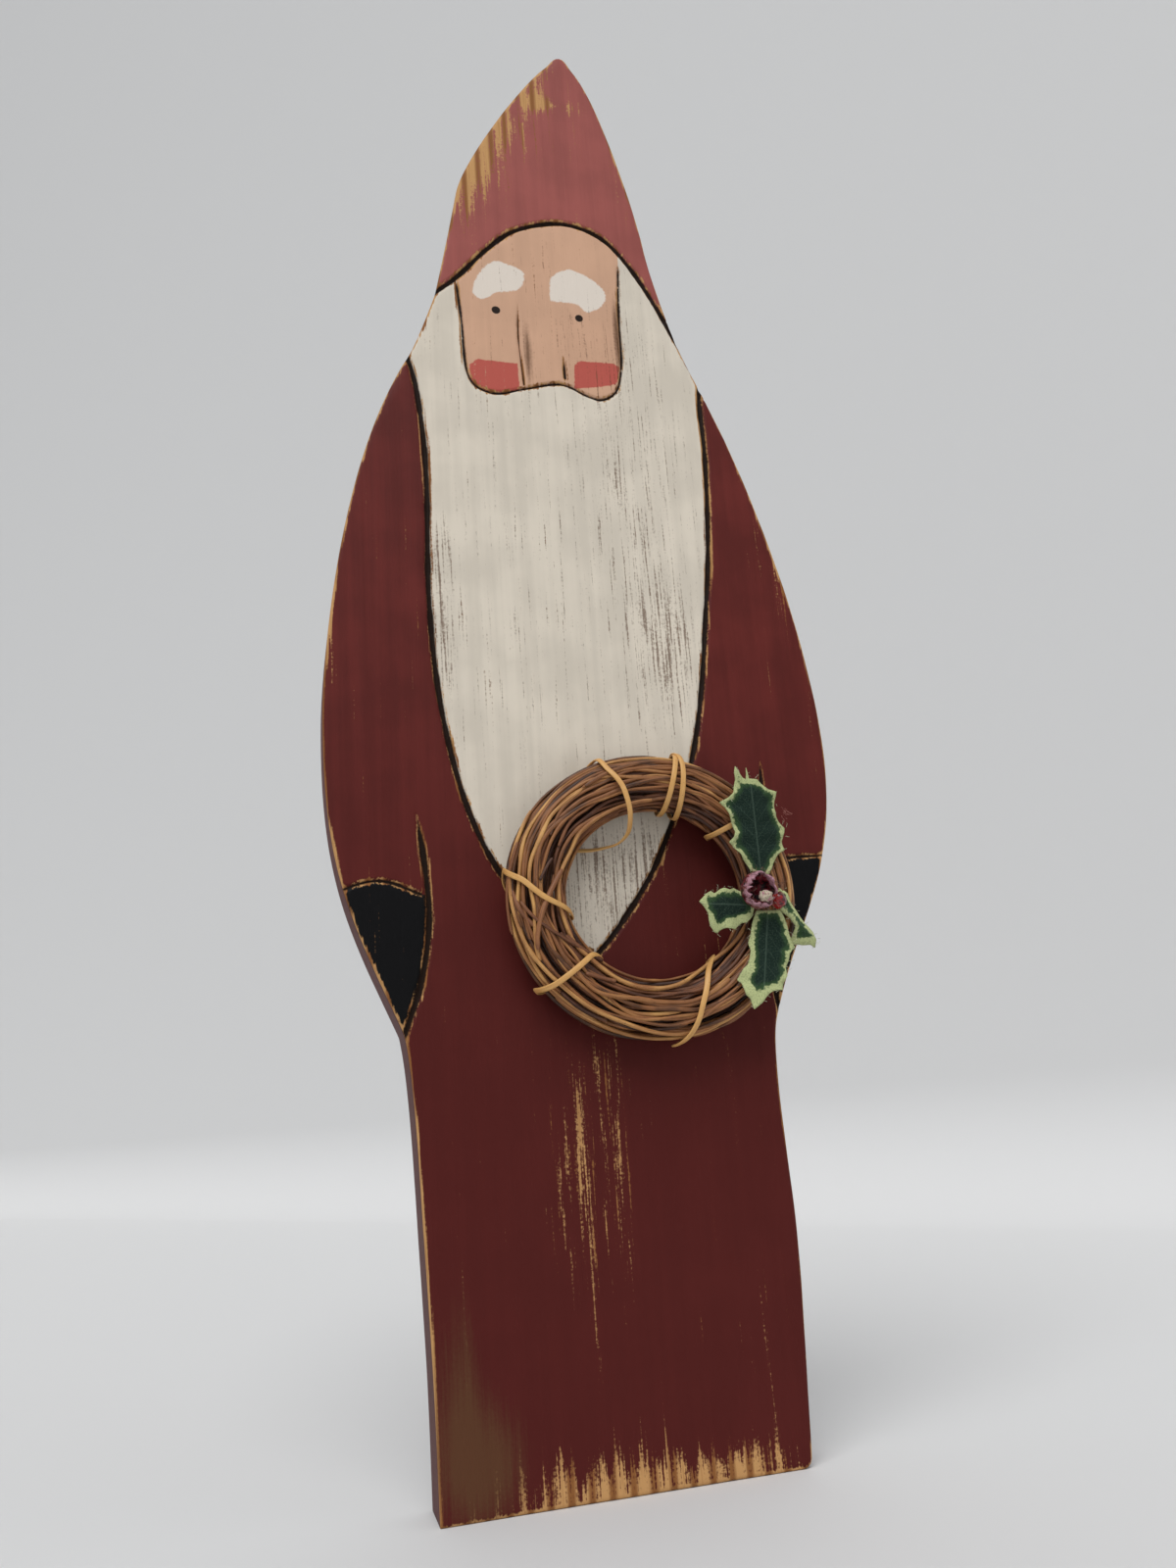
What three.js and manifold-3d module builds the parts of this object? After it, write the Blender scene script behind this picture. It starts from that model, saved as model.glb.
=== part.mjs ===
// A flat wooden figure of a bearded man in a tall pointed hat, sawn from one board and
// lined with a V-shaped gouge. A small vine wreath with a holly sprig hangs on its front.
// Millimetres, +Z up. The painted front faces -Y, and the sawn foot stands on z = 0.
import * as THREE from 'three';
import { mergeVertices } from 'three/addons/utils/BufferGeometryUtils.js';
import Module from 'manifold-3d';

const wasm = await Module();
wasm.setup();

// Driving dimensions of the board. Its front face is y = 0, and x = 0 is the middle of the foot.
const BOARD_THICK = 19;
const BOARD_TOP = [13, 547.5];
const FOOT_LEFT = [-58.7, 0];
const FOOT_RIGHT = [56, 0];
const CURVE_STEPS = 8;

// The sawn outline, up the left side. Each row is one cubic curve: two handles and its end.
const LEFT_SIDE = [
  [[-59, 36], [-59, 36], [-60.3, 70]],
  [[-61.4, 95], [-61.6, 124], [-64.9, 141]],
  [[-81.7, 179.3], [-90, 195.5], [-89.2, 250]],
  [[-88.9, 271.5], [-82, 347.3], [-55.8, 393]],
  [[-53.3, 397.3], [-47.4, 413.7], [-44.8, 421.5]],
  [[-41.7, 435.2], [-36, 462.7], [-34.7, 470]],
  [[-31.7, 486.8], [-4.5, 530.3], [6, 541]],
  [[8.8, 543.9], [9.8, 547.5], BOARD_TOP],
];

// The same, from the tip of the hat down the right side to the worn corner of the foot.
const RIGHT_SIDE = [
  [[15.6, 547.5], [16.4, 543.8], [18.3, 541]],
  [[28.7, 528.1], [41.1, 468.6], [42.6, 455]],
  [[43.7, 445.8], [49.6, 415.5], [58.7, 394]],
  [[76.1, 353.2], [93.7, 289.1], [94.7, 242]],
  [[95.9, 191], [76.7, 176.4], [64.1, 140]],
  [[59.9, 128.2], [62.9, 92.2], [62.5, 70]],
  [[62.1, 49.7], [61, 36.5], [59, 3.5]],
  [[58.9, 1.5], [57.8, 0], FOOT_RIGHT],
];

// The gouged lines. A line is a smooth curve through its points, at one depth all along.
// The cut is a right-angled V, so it is twice as wide as it is deep.
const DEEP_CUT = 1.6;
const FINE_CUT = 1.1;
const NOSE_CUT = 0.8;
const GOUGE_LINES = {
  hatBand: {
    depth: DEEP_CUT, spacing: 6,
    through: [[-49, 418.5], [-36, 430.5], [-24, 444.5], [-14, 454], [-4, 459], [7, 461.7],
      [17, 460.5], [26, 456], [36, 444], [46, 425.5], [52, 412], [57.5, 400]],
  },
  face: {
    depth: FINE_CUT, spacing: 4,
    through: [[-36.5, 430], [-35, 412], [-33.5, 387], [-30.5, 382], [-23, 379.6], [-11, 382.8],
      [3.4, 386], [14, 381.6], [19, 380.7], [25, 384.5], [28.2, 394.6], [29.3, 420], [30.8, 444.5]],
  },
  nose: { depth: NOSE_CUT, spacing: 8, through: [[-12.3, 421], [-12.8, 404], [-11.7, 384.5]] },
  nostril: { depth: FINE_CUT, spacing: 5, through: [[4.8, 398.6], [4.9, 389]] },
  beardLeft: {
    depth: DEEP_CUT, spacing: 9,
    through: [[-58.5, 397], [-54.7, 385.8], [-51.6, 360], [-50.9, 338.5], [-51.6, 290], [-48.6, 250],
      [-40.5, 213.6], [-29.7, 190.7], [-15, 174.5], [0, 163]],
  },
  beardRight: {
    depth: DEEP_CUT, spacing: 9,
    through: [[61.5, 396], [60, 384.5], [59.9, 360], [56.8, 317], [53, 290], [48, 259],
      [41.7, 233], [31.1, 208], [23, 192], [8.2, 171.8], [0, 163]],
  },
  armLeft: {
    depth: DEEP_CUT, spacing: 8,
    through: [[-58.7, 213.6], [-56.4, 194.7], [-55.6, 178], [-58.7, 158], [-66.5, 136]],
  },
  armRight: {
    depth: DEEP_CUT, spacing: 8,
    through: [[68.3, 232.6], [67.5, 219], [64.8, 196], [63.2, 172], [64.4, 148], [66.5, 137]],
  },
  cuffLeft: {
    depth: FINE_CUT, spacing: 6,
    through: [[-89, 185.5], [-78.3, 190], [-70, 190.7], [-58, 186]],
  },
  cuffRight: {
    depth: FINE_CUT, spacing: 6,
    through: [[66, 194.5], [75, 196.2], [93, 197]],
  },
};

// The wreath: an oval bundle of vines, lying on the front of the board.
const GAP = 0.3;
const TIE_THICK = 1.2;
const TIE_WIDE = 2.4;
const RING_CENTRE_X = 19.2;
const RING_CENTRE_Z = 182;
const RING_MID_X = 41;
const RING_MID_Z = 39.2;
const BUNDLE_HALF_WIDE = 10.4;
const BUNDLE_HALF_DEEP = 8;
const RING_BACK = -(TIE_THICK + 3 * GAP);
const RING_MID_Y = RING_BACK - BUNDLE_HALF_DEEP;
const RING_FRONT = RING_MID_Y - BUNDLE_HALF_DEEP;

// Strands show on the bundle as ridges that wind slowly round it.
const STRANDS = 7;
const STRAND_TURNS = 5;
const STRAND_RIDGE = 0.09;
const RING_STEPS = 64;
const SECTION_STEPS = 28;

// Each tie is a flat vine bound round the bundle. It crosses the outer edge at one bearing
// and the inner edge at another, in degrees anticlockwise from the right.
const TIE_STEPS = 26;
const TIES = {
  tie_top: { outer: 78, inner: 75 },
  tie_upper_left: { outer: 106, inner: 114 },
  tie_left: { outer: 168, inner: 197 },
  tie_lower_left: { outer: 214, inner: 231 },
  tie_bottom: { outer: 272, inner: 310 },
  tie_upper_right: { outer: 36, inner: 46 },
};

// The holly sprig. A leaf's stalk end is at x, z and stands proud of the wreath. The leaf
// points at bearing degrees, its tip lifted forward, and it is rolled about its own rib.
const LEAF_THICK = 0.6;
const SPINES = 4;
const SPINE_DEEP = 0.38;
const LEAVES = {
  holly_leaf_top: { x: 54, z: 185.5, proud: 1.5, bearing: 96, length: 37.5, width: 22, lift: 6, roll: 0 },
  holly_leaf_left: { x: 47, z: 176, proud: 1.5, bearing: 178, length: 18, width: 17, lift: 10, roll: 0 },
  holly_leaf_bottom: { x: 55, z: 172.5, proud: 1.5, bearing: 254, length: 32, width: 20, lift: 8, roll: 0 },
  holly_leaf_right: { x: 63, z: 179, proud: 1.7, bearing: 304, length: 21, width: 12, lift: 0, roll: -30 },
};

// The berries sit on the wreath between the stalk ends of the leaves. One is broken: it is
// a hollow shell, open to the front, with a crumb of its core inside its lower rim.
const SHELL = { x: 51.6, z: 180.1, radius: 6.3, wall: 0.9, rimAngle: 62 };
const SHELL_STEPS = 8;
const RED_BERRY = { x: 59.6, z: 176.6, radius: 3, proud: 0 };
const CORE_CRUMB = { x: 52.8, z: 177.6, radius: 1.6, proud: 6.7 };

const paint = (color, roughness) => new THREE.MeshStandardMaterial({ color, roughness, metalness: 0 });
const BARN_RED = paint(0x7a302c, 0.7);
const VINE = paint(0xa9723c, 0.65);
const PALE_VINE = paint(0xc99a58, 0.6);
const HOLLY_CLOTH = paint(0x24402c, 0.85);
const BERRY_RED = paint(0x8c2434, 0.5);
const CORE_WHITE = paint(0xc9c0a8, 0.9);

// A mesh whose shared vertices are joined, so that it is one closed skin.
function welded(geometry) {
  geometry.deleteAttribute('normal');
  geometry.deleteAttribute('uv');
  return mergeVertices(geometry, 1e-4);
}

function toSolid(geometry) {
  const skin = welded(geometry);
  const vertProperties = new Float32Array(skin.attributes.position.array);
  const triVerts = new Uint32Array(skin.index.array);
  return new wasm.Manifold(new wasm.Mesh({ numProp: 3, vertProperties, triVerts }));
}

function toGeometry(solid) {
  const mesh = solid.getMesh();
  const geometry = new THREE.BufferGeometry();
  geometry.setAttribute('position', new THREE.BufferAttribute(mesh.vertProperties, 3));
  geometry.setIndex(new THREE.BufferAttribute(mesh.triVerts, 1));
  return geometry;
}

function namedMesh(name, geometry, material) {
  const mesh = new THREE.Mesh(geometry, material);
  mesh.name = name;
  return mesh;
}

// The board before it is lined: the outline, extruded back from the front face.
function sawnBoard() {
  const outline = new THREE.Shape();
  outline.moveTo(...FOOT_LEFT);
  for (const [first, second, end] of [...LEFT_SIDE, ...RIGHT_SIDE]) {
    outline.bezierCurveTo(...first, ...second, ...end);
  }
  outline.closePath();
  const geometry = new THREE.ExtrudeGeometry(outline, {
    depth: BOARD_THICK, bevelEnabled: false, curveSegments: CURVE_STEPS,
  });
  return geometry.translate(0, 0, -BOARD_THICK).rotateX(Math.PI / 2);
}

// The bar that a V gouge takes out: a square on its corner, carried along the line.
function gougeCut({ through, depth, spacing }) {
  const path = new THREE.CatmullRomCurve3(
    through.map(([x, z]) => new THREE.Vector3(x, 0, z)), false, 'centripetal',
  );
  const section = new THREE.Shape([[depth, 0], [0, depth], [-depth, 0], [0, -depth]]
    .map(([x, y]) => new THREE.Vector2(x, y)));
  const steps = Math.max(2, Math.round(path.getLength() / spacing));
  return new THREE.ExtrudeGeometry(section, { extrudePath: path, steps, bevelEnabled: false });
}

function board() {
  let solid = toSolid(sawnBoard());
  for (const line of Object.values(GOUGE_LINES)) {
    solid = solid.subtract(toSolid(gougeCut(line)));
  }
  return namedMesh('santa_board', toGeometry(solid), BARN_RED);
}

// A point near the bundle. turn goes round the wreath, around goes round the bundle's section
// from its outer edge by way of the front, both in radians, and grow scales the section.
function bundlePoint(turn, around, grow, proud = 0) {
  const out = (BUNDLE_HALF_WIDE * grow + proud) * Math.cos(around);
  const forward = (BUNDLE_HALF_DEEP * grow + proud) * Math.sin(around);
  return new THREE.Vector3(
    RING_CENTRE_X + (RING_MID_X + out) * Math.cos(turn),
    RING_MID_Y - forward,
    RING_CENTRE_Z + (RING_MID_Z + out) * Math.sin(turn),
  );
}

// A torus whose two angles are handed to place(u, v), which gives each point its real position.
function bentTorus(aroundSteps, sectionSteps, place) {
  const geometry = new THREE.TorusGeometry(2, 1, sectionSteps, aroundSteps);
  const { position, uv } = geometry.attributes;
  for (let i = 0; i < position.count; i += 1) {
    const point = place(2 * Math.PI * uv.getX(i), 2 * Math.PI * uv.getY(i));
    position.setXYZ(i, point.x, point.y, point.z);
  }
  return welded(geometry);
}

function wreathRing() {
  const place = (turn, around) => {
    const ridge = Math.cos(STRANDS * around + STRAND_TURNS * turn);
    return bundlePoint(turn, around, 1 - STRAND_RIDGE + STRAND_RIDGE * ridge);
  };
  return namedMesh('wreath_ring', bentTorus(RING_STEPS, SECTION_STEPS, place), VINE);
}

function tie(name, { outer, inner }) {
  const middle = THREE.MathUtils.degToRad((outer + inner) / 2);
  const slant = THREE.MathUtils.degToRad((outer - inner) / 2);
  const place = (backwards, across) => {
    const around = -backwards;
    const bearing = middle + slant * Math.cos(around);
    const run = RING_MID_X + BUNDLE_HALF_WIDE * Math.cos(around);
    const corner = across + Math.PI / 4;
    const side = Math.sign(Math.sin(corner)) * TIE_WIDE / 2;
    const proud = GAP + TIE_THICK * (Math.cos(corner) > 0 ? 1 : 0);
    return bundlePoint(bearing + side / run, around, 1, proud);
  };
  return namedMesh(name, bentTorus(TIE_STEPS, 4, place), PALE_VINE);
}

// A holly leaf's outline, stalk end at 0 and tip at +x, with spines joined by hollow scallops.
function leafOutline(length, width) {
  const halfWidth = (t) => (width / 2) * Math.sin(Math.PI * t ** 0.8);
  const outline = new THREE.Shape();
  const stalk = 0.06 * width;
  const edge = (side) => {
    const spines = [];
    for (let i = 1; i <= SPINES; i += 1) {
      const t = (i - 0.25) / (SPINES + 0.6);
      spines.push([length * t, side * halfWidth(t)]);
    }
    return spines;
  };
  const scallop = (from, to) => {
    const middle = [(from[0] + to[0]) / 2, (from[1] + to[1]) / 2 * (1 - SPINE_DEEP)];
    outline.quadraticCurveTo(...middle, ...to);
  };
  const right = [[0, -stalk], ...edge(-1), [length, 0]];
  const left = [[length, 0], ...edge(1).reverse(), [0, stalk]];
  outline.moveTo(...right[0]);
  for (const side of [right, left]) {
    for (let i = 1; i < side.length; i += 1) {
      scallop(side[i - 1], side[i]);
    }
  }
  outline.closePath();
  return outline;
}

function leaf(name, { x, z, proud, bearing, length, width, lift, roll }) {
  const geometry = new THREE.ExtrudeGeometry(leafOutline(length, width), {
    depth: LEAF_THICK, bevelEnabled: false, curveSegments: 3,
  });
  geometry.translate(0, 0, -LEAF_THICK / 2).rotateX(Math.PI / 2);
  const mesh = namedMesh(name, welded(geometry), HOLLY_CLOTH);
  mesh.position.set(x, RING_FRONT - proud, z);
  mesh.rotation.order = 'YZX';
  mesh.rotation.set(
    THREE.MathUtils.degToRad(roll),
    -THREE.MathUtils.degToRad(bearing),
    -THREE.MathUtils.degToRad(lift),
  );
  return mesh;
}

function berry(name, { x, z, radius, proud }, material) {
  const mesh = namedMesh(name, welded(new THREE.SphereGeometry(radius, 12, 8)), material);
  mesh.position.set(x, RING_FRONT - GAP - radius - proud, z);
  return mesh;
}

// The broken berry: a ball's wall without its front cap. Its profile runs from the back pole
// out to the rim and back along the inside, and both of its ends are on the axis.
function brokenBerry() {
  const { x, z, radius, wall, rimAngle } = SHELL;
  const openHalf = THREE.MathUtils.degToRad(180 - rimAngle);
  const arcPoint = (size, step) => {
    const angle = (openHalf * step) / SHELL_STEPS;
    return new THREE.Vector2(size * Math.sin(angle), -size * Math.cos(angle));
  };
  const profile = [];
  for (let step = 0; step <= SHELL_STEPS; step += 1) {
    profile.push(arcPoint(radius, step));
  }
  for (let step = SHELL_STEPS; step >= 0; step -= 1) {
    profile.push(arcPoint(radius - wall, step));
  }
  const geometry = new THREE.LatheGeometry(profile, 16).rotateX(Math.PI);
  const mesh = namedMesh('holly_berry_shell', welded(geometry), BERRY_RED);
  mesh.position.set(x, RING_FRONT - GAP - radius, z);
  return mesh;
}

const figure = new THREE.Group();
figure.add(board(), wreathRing());
for (const [name, sizes] of Object.entries(TIES)) {
  figure.add(tie(name, sizes));
}
for (const [name, sizes] of Object.entries(LEAVES)) {
  figure.add(leaf(name, sizes));
}
figure.add(brokenBerry());
figure.add(berry('holly_berry_red', RED_BERRY, BERRY_RED));
figure.add(berry('holly_berry_core', CORE_CRUMB, CORE_WHITE));

// The part's own origin is the middle of its whole box, at the foot.
const box = new THREE.Box3().setFromObject(figure, true);
const middle = box.getCenter(new THREE.Vector3());
figure.position.set(-middle.x, -middle.y, -box.min.z);
const part = new THREE.Group();
part.add(figure);

export default part;
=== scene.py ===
"""Looks of a flat wooden figure: a sawn and painted board, a vine wreath and a holly sprig.

Sizes in the classes below are millimetres on the board. x runs to the right from the middle
of the sawn foot, z runs up from the foot, and depth is measured back from the painted face.
A mesh reaches Blender's metres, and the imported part's own frame, in its last step.
"""

import logging
import math
from dataclasses import dataclass, field
from typing import Any, Iterable, Sequence

import bpy
import numpy as np
from mathutils import Matrix, Vector
from mathutils.geometry import delaunay_2d_cdt


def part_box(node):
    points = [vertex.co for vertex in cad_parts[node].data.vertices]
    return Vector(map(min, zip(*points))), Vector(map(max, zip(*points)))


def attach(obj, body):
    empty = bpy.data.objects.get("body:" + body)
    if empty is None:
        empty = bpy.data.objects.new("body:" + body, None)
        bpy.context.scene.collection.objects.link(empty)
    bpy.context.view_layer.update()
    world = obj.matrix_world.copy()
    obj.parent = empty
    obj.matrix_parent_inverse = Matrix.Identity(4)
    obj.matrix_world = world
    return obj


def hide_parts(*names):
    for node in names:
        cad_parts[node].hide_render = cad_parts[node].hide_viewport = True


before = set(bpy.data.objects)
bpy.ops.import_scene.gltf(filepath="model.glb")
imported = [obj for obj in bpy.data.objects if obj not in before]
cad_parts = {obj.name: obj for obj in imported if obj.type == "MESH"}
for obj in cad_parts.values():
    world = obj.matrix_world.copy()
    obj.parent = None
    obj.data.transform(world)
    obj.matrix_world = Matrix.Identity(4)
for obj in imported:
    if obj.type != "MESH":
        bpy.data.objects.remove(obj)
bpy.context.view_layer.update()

LOG = logging.getLogger("figurine")
MM = 0.001
Pair = tuple[float, float]
Colour = tuple[float, float, float]


# Node trees


def paint_mix(red: int, green: int, blue: int) -> Colour:
    """Return a paint colour from its three 0 to 255 screen levels."""
    def level(value: int) -> float:
        share = value / 255
        return share / 12.92 if share <= 0.04045 else ((share + 0.055) / 1.055) ** 2.4

    return level(red), level(green), level(blue)


class Value:
    """A number that flows through a node tree, so that sums and products read as such."""

    def __init__(self, graph: "Graph", socket: bpy.types.NodeSocket) -> None:
        """Hold a socket of the graph."""
        self.graph = graph
        self.socket = socket

    def __add__(self, other: "Value | float") -> "Value":
        """Return the sum."""
        return self.graph.math("ADD", self, other)

    def __radd__(self, other: float) -> "Value":
        """Return the sum."""
        return self.graph.math("ADD", other, self)

    def __sub__(self, other: "Value | float") -> "Value":
        """Return the difference."""
        return self.graph.math("SUBTRACT", self, other)

    def __rsub__(self, other: float) -> "Value":
        """Return the difference."""
        return self.graph.math("SUBTRACT", other, self)

    def __mul__(self, other: "Value | float") -> "Value":
        """Return the product."""
        return self.graph.math("MULTIPLY", self, other)

    def __rmul__(self, other: float) -> "Value":
        """Return the product."""
        return self.graph.math("MULTIPLY", other, self)

    def __truediv__(self, other: "Value | float") -> "Value":
        """Return the quotient."""
        return self.graph.math("DIVIDE", self, other)


Feed = Value | bpy.types.NodeSocket | float | int | Sequence[float]


class Graph:
    """A node tree under construction, with short calls for the nodes in use."""

    def __init__(self, tree: bpy.types.NodeTree) -> None:
        """Start on an empty tree."""
        self.tree = tree
        tree.nodes.clear()

    def add(self, kind: str, feeds: dict[str | int, Feed] | None = None, **settings: Any) -> bpy.types.Node:
        """Add a node.

        Args:
            kind: The node's type name.
            feeds: What each input gets, by the input's name or number.
            **settings: The node's own properties.

        Returns:
            The node.
        """
        node = self.tree.nodes.new(kind)
        for name, value in settings.items():
            setattr(node, name, value)
        for key, value in (feeds or {}).items():
            self.feed(node.inputs[key], value)
        return node

    def feed(self, socket: bpy.types.NodeSocket, value: Feed) -> None:
        """Link a value to an input, or set the input where the value is plain."""
        if isinstance(value, Value):
            value = value.socket
        if isinstance(value, bpy.types.NodeSocket):
            self.tree.links.new(value, socket)
        elif socket.type == "RGBA" and not isinstance(value, (int, float)):
            socket.default_value = (*value[:3], 1.0)
        else:
            socket.default_value = value

    def math(self, operation: str, *values: "Value | float", clamp: bool = False) -> Value:
        """Return the result of one arithmetic step."""
        feeds = dict(enumerate(values))
        return Value(self, self.add("ShaderNodeMath", feeds, operation=operation, use_clamp=clamp).outputs[0])

    def smooth(self, value: Value, low: float, high: float) -> Value:
        """Return 0 below low and 1 above high, with a soft step between. High may be the lower."""
        flip = high < low
        ends = {"From Min": min(low, high), "From Max": max(low, high)}
        if flip:
            ends |= {"To Min": 1.0, "To Max": 0.0}
        node = self.add("ShaderNodeMapRange", {"Value": value, **ends}, interpolation_type="SMOOTHSTEP")
        return Value(self, node.outputs["Result"])

    def vector(self, x: "Value | float", y: "Value | float", z: "Value | float") -> bpy.types.NodeSocket:
        """Return three numbers as one vector."""
        return self.add("ShaderNodeCombineXYZ", {0: x, 1: y, 2: z}).outputs[0]

    def stretched(self, vector: bpy.types.NodeSocket, factors: Sequence[float]) -> bpy.types.NodeSocket:
        """Return a vector with each of its parts multiplied."""
        return self.add("ShaderNodeVectorMath", {0: vector, 1: factors}, operation="MULTIPLY").outputs[0]

    def noise(self, vector: bpy.types.NodeSocket, scale: float, detail: float = 2.0, rough: float = 0.5) -> Value:
        """Return smooth random values from 0 to 1, a half on average."""
        feeds = {"Vector": vector, "Scale": scale, "Detail": detail, "Roughness": rough}
        return Value(self, self.add("ShaderNodeTexNoise", feeds).outputs[0])


class FinishGraph(Graph):
    """The node tree of one material, with its shader in place."""

    def __init__(self, name: str) -> None:
        """Make the material and its output."""
        self.material = bpy.data.materials.new(name)
        self.material.use_nodes = True
        super().__init__(self.material.node_tree)
        self.shader = self.add("ShaderNodeBsdfPrincipled")
        self.add("ShaderNodeOutputMaterial", {"Surface": self.shader.outputs[0]})

    def millimetres(self) -> bpy.types.NodeSocket:
        """Return the place on the object in millimetres."""
        return self.stretched(self.add("ShaderNodeTexCoord").outputs["Object"], (1000, 1000, 1000))

    def stored(self, name: str) -> Value:
        """Return a number that the mesh stores at its points."""
        return Value(self, self.add("ShaderNodeAttribute", attribute_name=name).outputs["Fac"])

    def mixed(self, share: "Value | float", first: Feed, second: Feed) -> bpy.types.NodeSocket:
        """Return a colour that goes from the first to the second as share goes from 0 to 1."""
        node = self.add("ShaderNodeMix", {0: share, 6: first, 7: second}, data_type="RGBA")
        return node.outputs[2]

    def bump(self, height: Value, distance: float, strength: float = 1.0) -> None:
        """Set the shader's normal from a height, whose whole range is distance in millimetres."""
        node = self.add("ShaderNodeBump", {"Height": height, "Distance": distance * MM, "Strength": strength})
        self.feed(self.shader.inputs["Normal"], node.outputs[0])

    def finish(self, **shader: Feed) -> bpy.types.Material:
        """Set inputs of the shader by name, with _ for a space, and return the material."""
        for name, value in shader.items():
            self.feed(self.shader.inputs[name.replace("_", " ")], value)
        return self.material


class ShapeGraph(Graph):
    """A Geometry Nodes tree with named inputs."""

    def __init__(self, name: str, inputs: dict[str, str]) -> None:
        """Make the tree.

        Args:
            name: The tree's name.
            inputs: Socket type by input name.
        """
        super().__init__(bpy.data.node_groups.new(name, "GeometryNodeTree"))
        ports = self.tree.interface
        ports.new_socket("Geometry", in_out="INPUT", socket_type="NodeSocketGeometry")
        for label, kind in inputs.items():
            ports.new_socket(label, in_out="INPUT", socket_type=kind)
        ports.new_socket("Geometry", in_out="OUTPUT", socket_type="NodeSocketGeometry")
        self.source = self.add("NodeGroupInput")

    def given(self, label: str) -> Value:
        """Return an input of the tree."""
        return Value(self, self.source.outputs[label])

    def close(self, shape: bpy.types.NodeSocket) -> bpy.types.NodeTree:
        """End the tree with real geometry and its material."""
        real = self.add("GeometryNodeRealizeInstances", {"Geometry": shape})
        dressed = self.add(
            "GeometryNodeSetMaterial", {"Geometry": real.outputs[0], "Material": self.given("Material")}
        )
        self.add("NodeGroupOutput", {"Geometry": dressed.outputs[0]})
        return self.tree


def grown(
    tree: bpy.types.NodeTree, name: str, source: bpy.types.Mesh | None = None, **inputs: Any
) -> bpy.types.Object:
    """Run a Geometry Nodes tree once and keep its result as a plain mesh.

    Args:
        tree: The tree.
        name: The new piece's name.
        source: The mesh that the tree starts from, where it needs one.
        **inputs: The tree's inputs by name, with _ for a space.

    Returns:
        The piece, with no modifier left on it.
    """
    piece = bpy.data.objects.new(name, source or bpy.data.meshes.new(name + ".seed"))
    bpy.context.scene.collection.objects.link(piece)
    modifier = piece.modifiers.new("shape", "NODES")
    modifier.node_group = tree
    for item in tree.interface.items_tree:
        key = item.name.replace(" ", "_")
        if item.in_out == "INPUT" and key in inputs:
            modifier[item.identifier] = inputs[key]
    piece.update_tag()
    ready = piece.evaluated_get(bpy.context.evaluated_depsgraph_get())
    mesh = bpy.data.meshes.new_from_object(ready)
    mesh.name = name
    piece.modifiers.remove(modifier)
    piece.data = mesh
    return piece


# Lines and distances on the board


def along_cubics(start: Pair, rows: Iterable[Sequence[Pair]], spacing: float) -> np.ndarray:
    """Follow a chain of cubic curves.

    Args:
        start: The first point.
        rows: Two handles and an end for each curve.
        spacing: Distance between the points of the result.

    Returns:
        Points from the start to the last end.
    """
    steps = np.linspace(0, 1, 40)[1:, None]
    line, here = [np.array([start], float)], np.array(start, float)
    for first, second, end in rows:
        a, b, c = (np.array(p, float) for p in (first, second, end))
        rest = 1 - steps
        line.append(rest**3 * here + 3 * rest**2 * steps * a + 3 * rest * steps**2 * b + steps**3 * c)
        here = c
    return evenly(np.concatenate(line), spacing)


def evenly(line: np.ndarray, spacing: float) -> np.ndarray:
    """Return a line's points moved to an even spacing, its ends kept."""
    run = np.concatenate([[0], np.cumsum(np.linalg.norm(np.diff(line, axis=0), axis=1))])
    stops = np.linspace(0, run[-1], max(2, round(run[-1] / spacing) + 1))
    return np.stack([np.interp(stops, run, line[:, k]) for k in range(line.shape[1])], axis=1)


def smooth_through(points: Sequence[Sequence[float]], spacing: float) -> np.ndarray:
    """Return an even line through points, on the same curve that the gouge follows."""
    p = np.array(points, float)
    p = np.concatenate([[2 * p[0] - p[1]], p, [2 * p[-1] - p[-2]]])
    t = np.linspace(0, 1, 24)[:, None]
    line = []
    for a, b, c, d in zip(p, p[1:], p[2:], p[3:]):
        ab, bc, cd = (math.sqrt(np.linalg.norm(v)) or 1.0 for v in (b - a, c - b, d - c))
        start = ((b - a) / ab - (c - a) / (ab + bc) + (c - b) / bc) * bc
        end = ((c - b) / bc - (d - b) / (bc + cd) + (d - c) / cd) * bc
        line.append(
            (2 * t**3 - 3 * t**2 + 1) * b + (t**3 - 2 * t**2 + t) * start
            + (3 * t**2 - 2 * t**3) * c + (t**3 - t**2) * end
        )
    return evenly(np.concatenate(line), spacing)


def nearest(points: np.ndarray, line: np.ndarray) -> tuple[np.ndarray, np.ndarray]:
    """Measure points against a line.

    Args:
        points: Places on the board.
        line: The line's points.

    Returns:
        Each place's distance from the line, and how far along the line its nearest point is.
    """
    start, step = line[:-1], np.diff(line, axis=0)
    length = np.linalg.norm(step, axis=1)
    run = np.concatenate([[0], np.cumsum(length)])[:-1]
    gap, place = np.empty(len(points)), np.empty(len(points))
    for i in range(0, len(points), 4000):
        part = points[i : i + 4000, None, :]
        share = np.clip(((part - start) * step).sum(2) / (length**2 + 1e-12), 0, 1)
        away = np.linalg.norm(part - (start + share[..., None] * step), axis=2)
        best = away.argmin(1)
        rows = np.arange(len(best))
        gap[i : i + 4000] = away[rows, best]
        place[i : i + 4000] = run[best] + share[rows, best] * length[best]
    return gap, place


def within(points: np.ndarray, polygon: np.ndarray) -> np.ndarray:
    """Return which points are inside a closed polygon."""
    x, z = points[:, 0], points[:, 1]
    found = np.zeros(len(points), bool)
    for (ax, az), (bx, bz) in zip(polygon, np.roll(polygon, -1, axis=0)):
        if az != bz:
            found ^= ((az > z) != (bz > z)) & (x < (bx - ax) * (z - az) / (bz - az) + ax)
    return found


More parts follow.
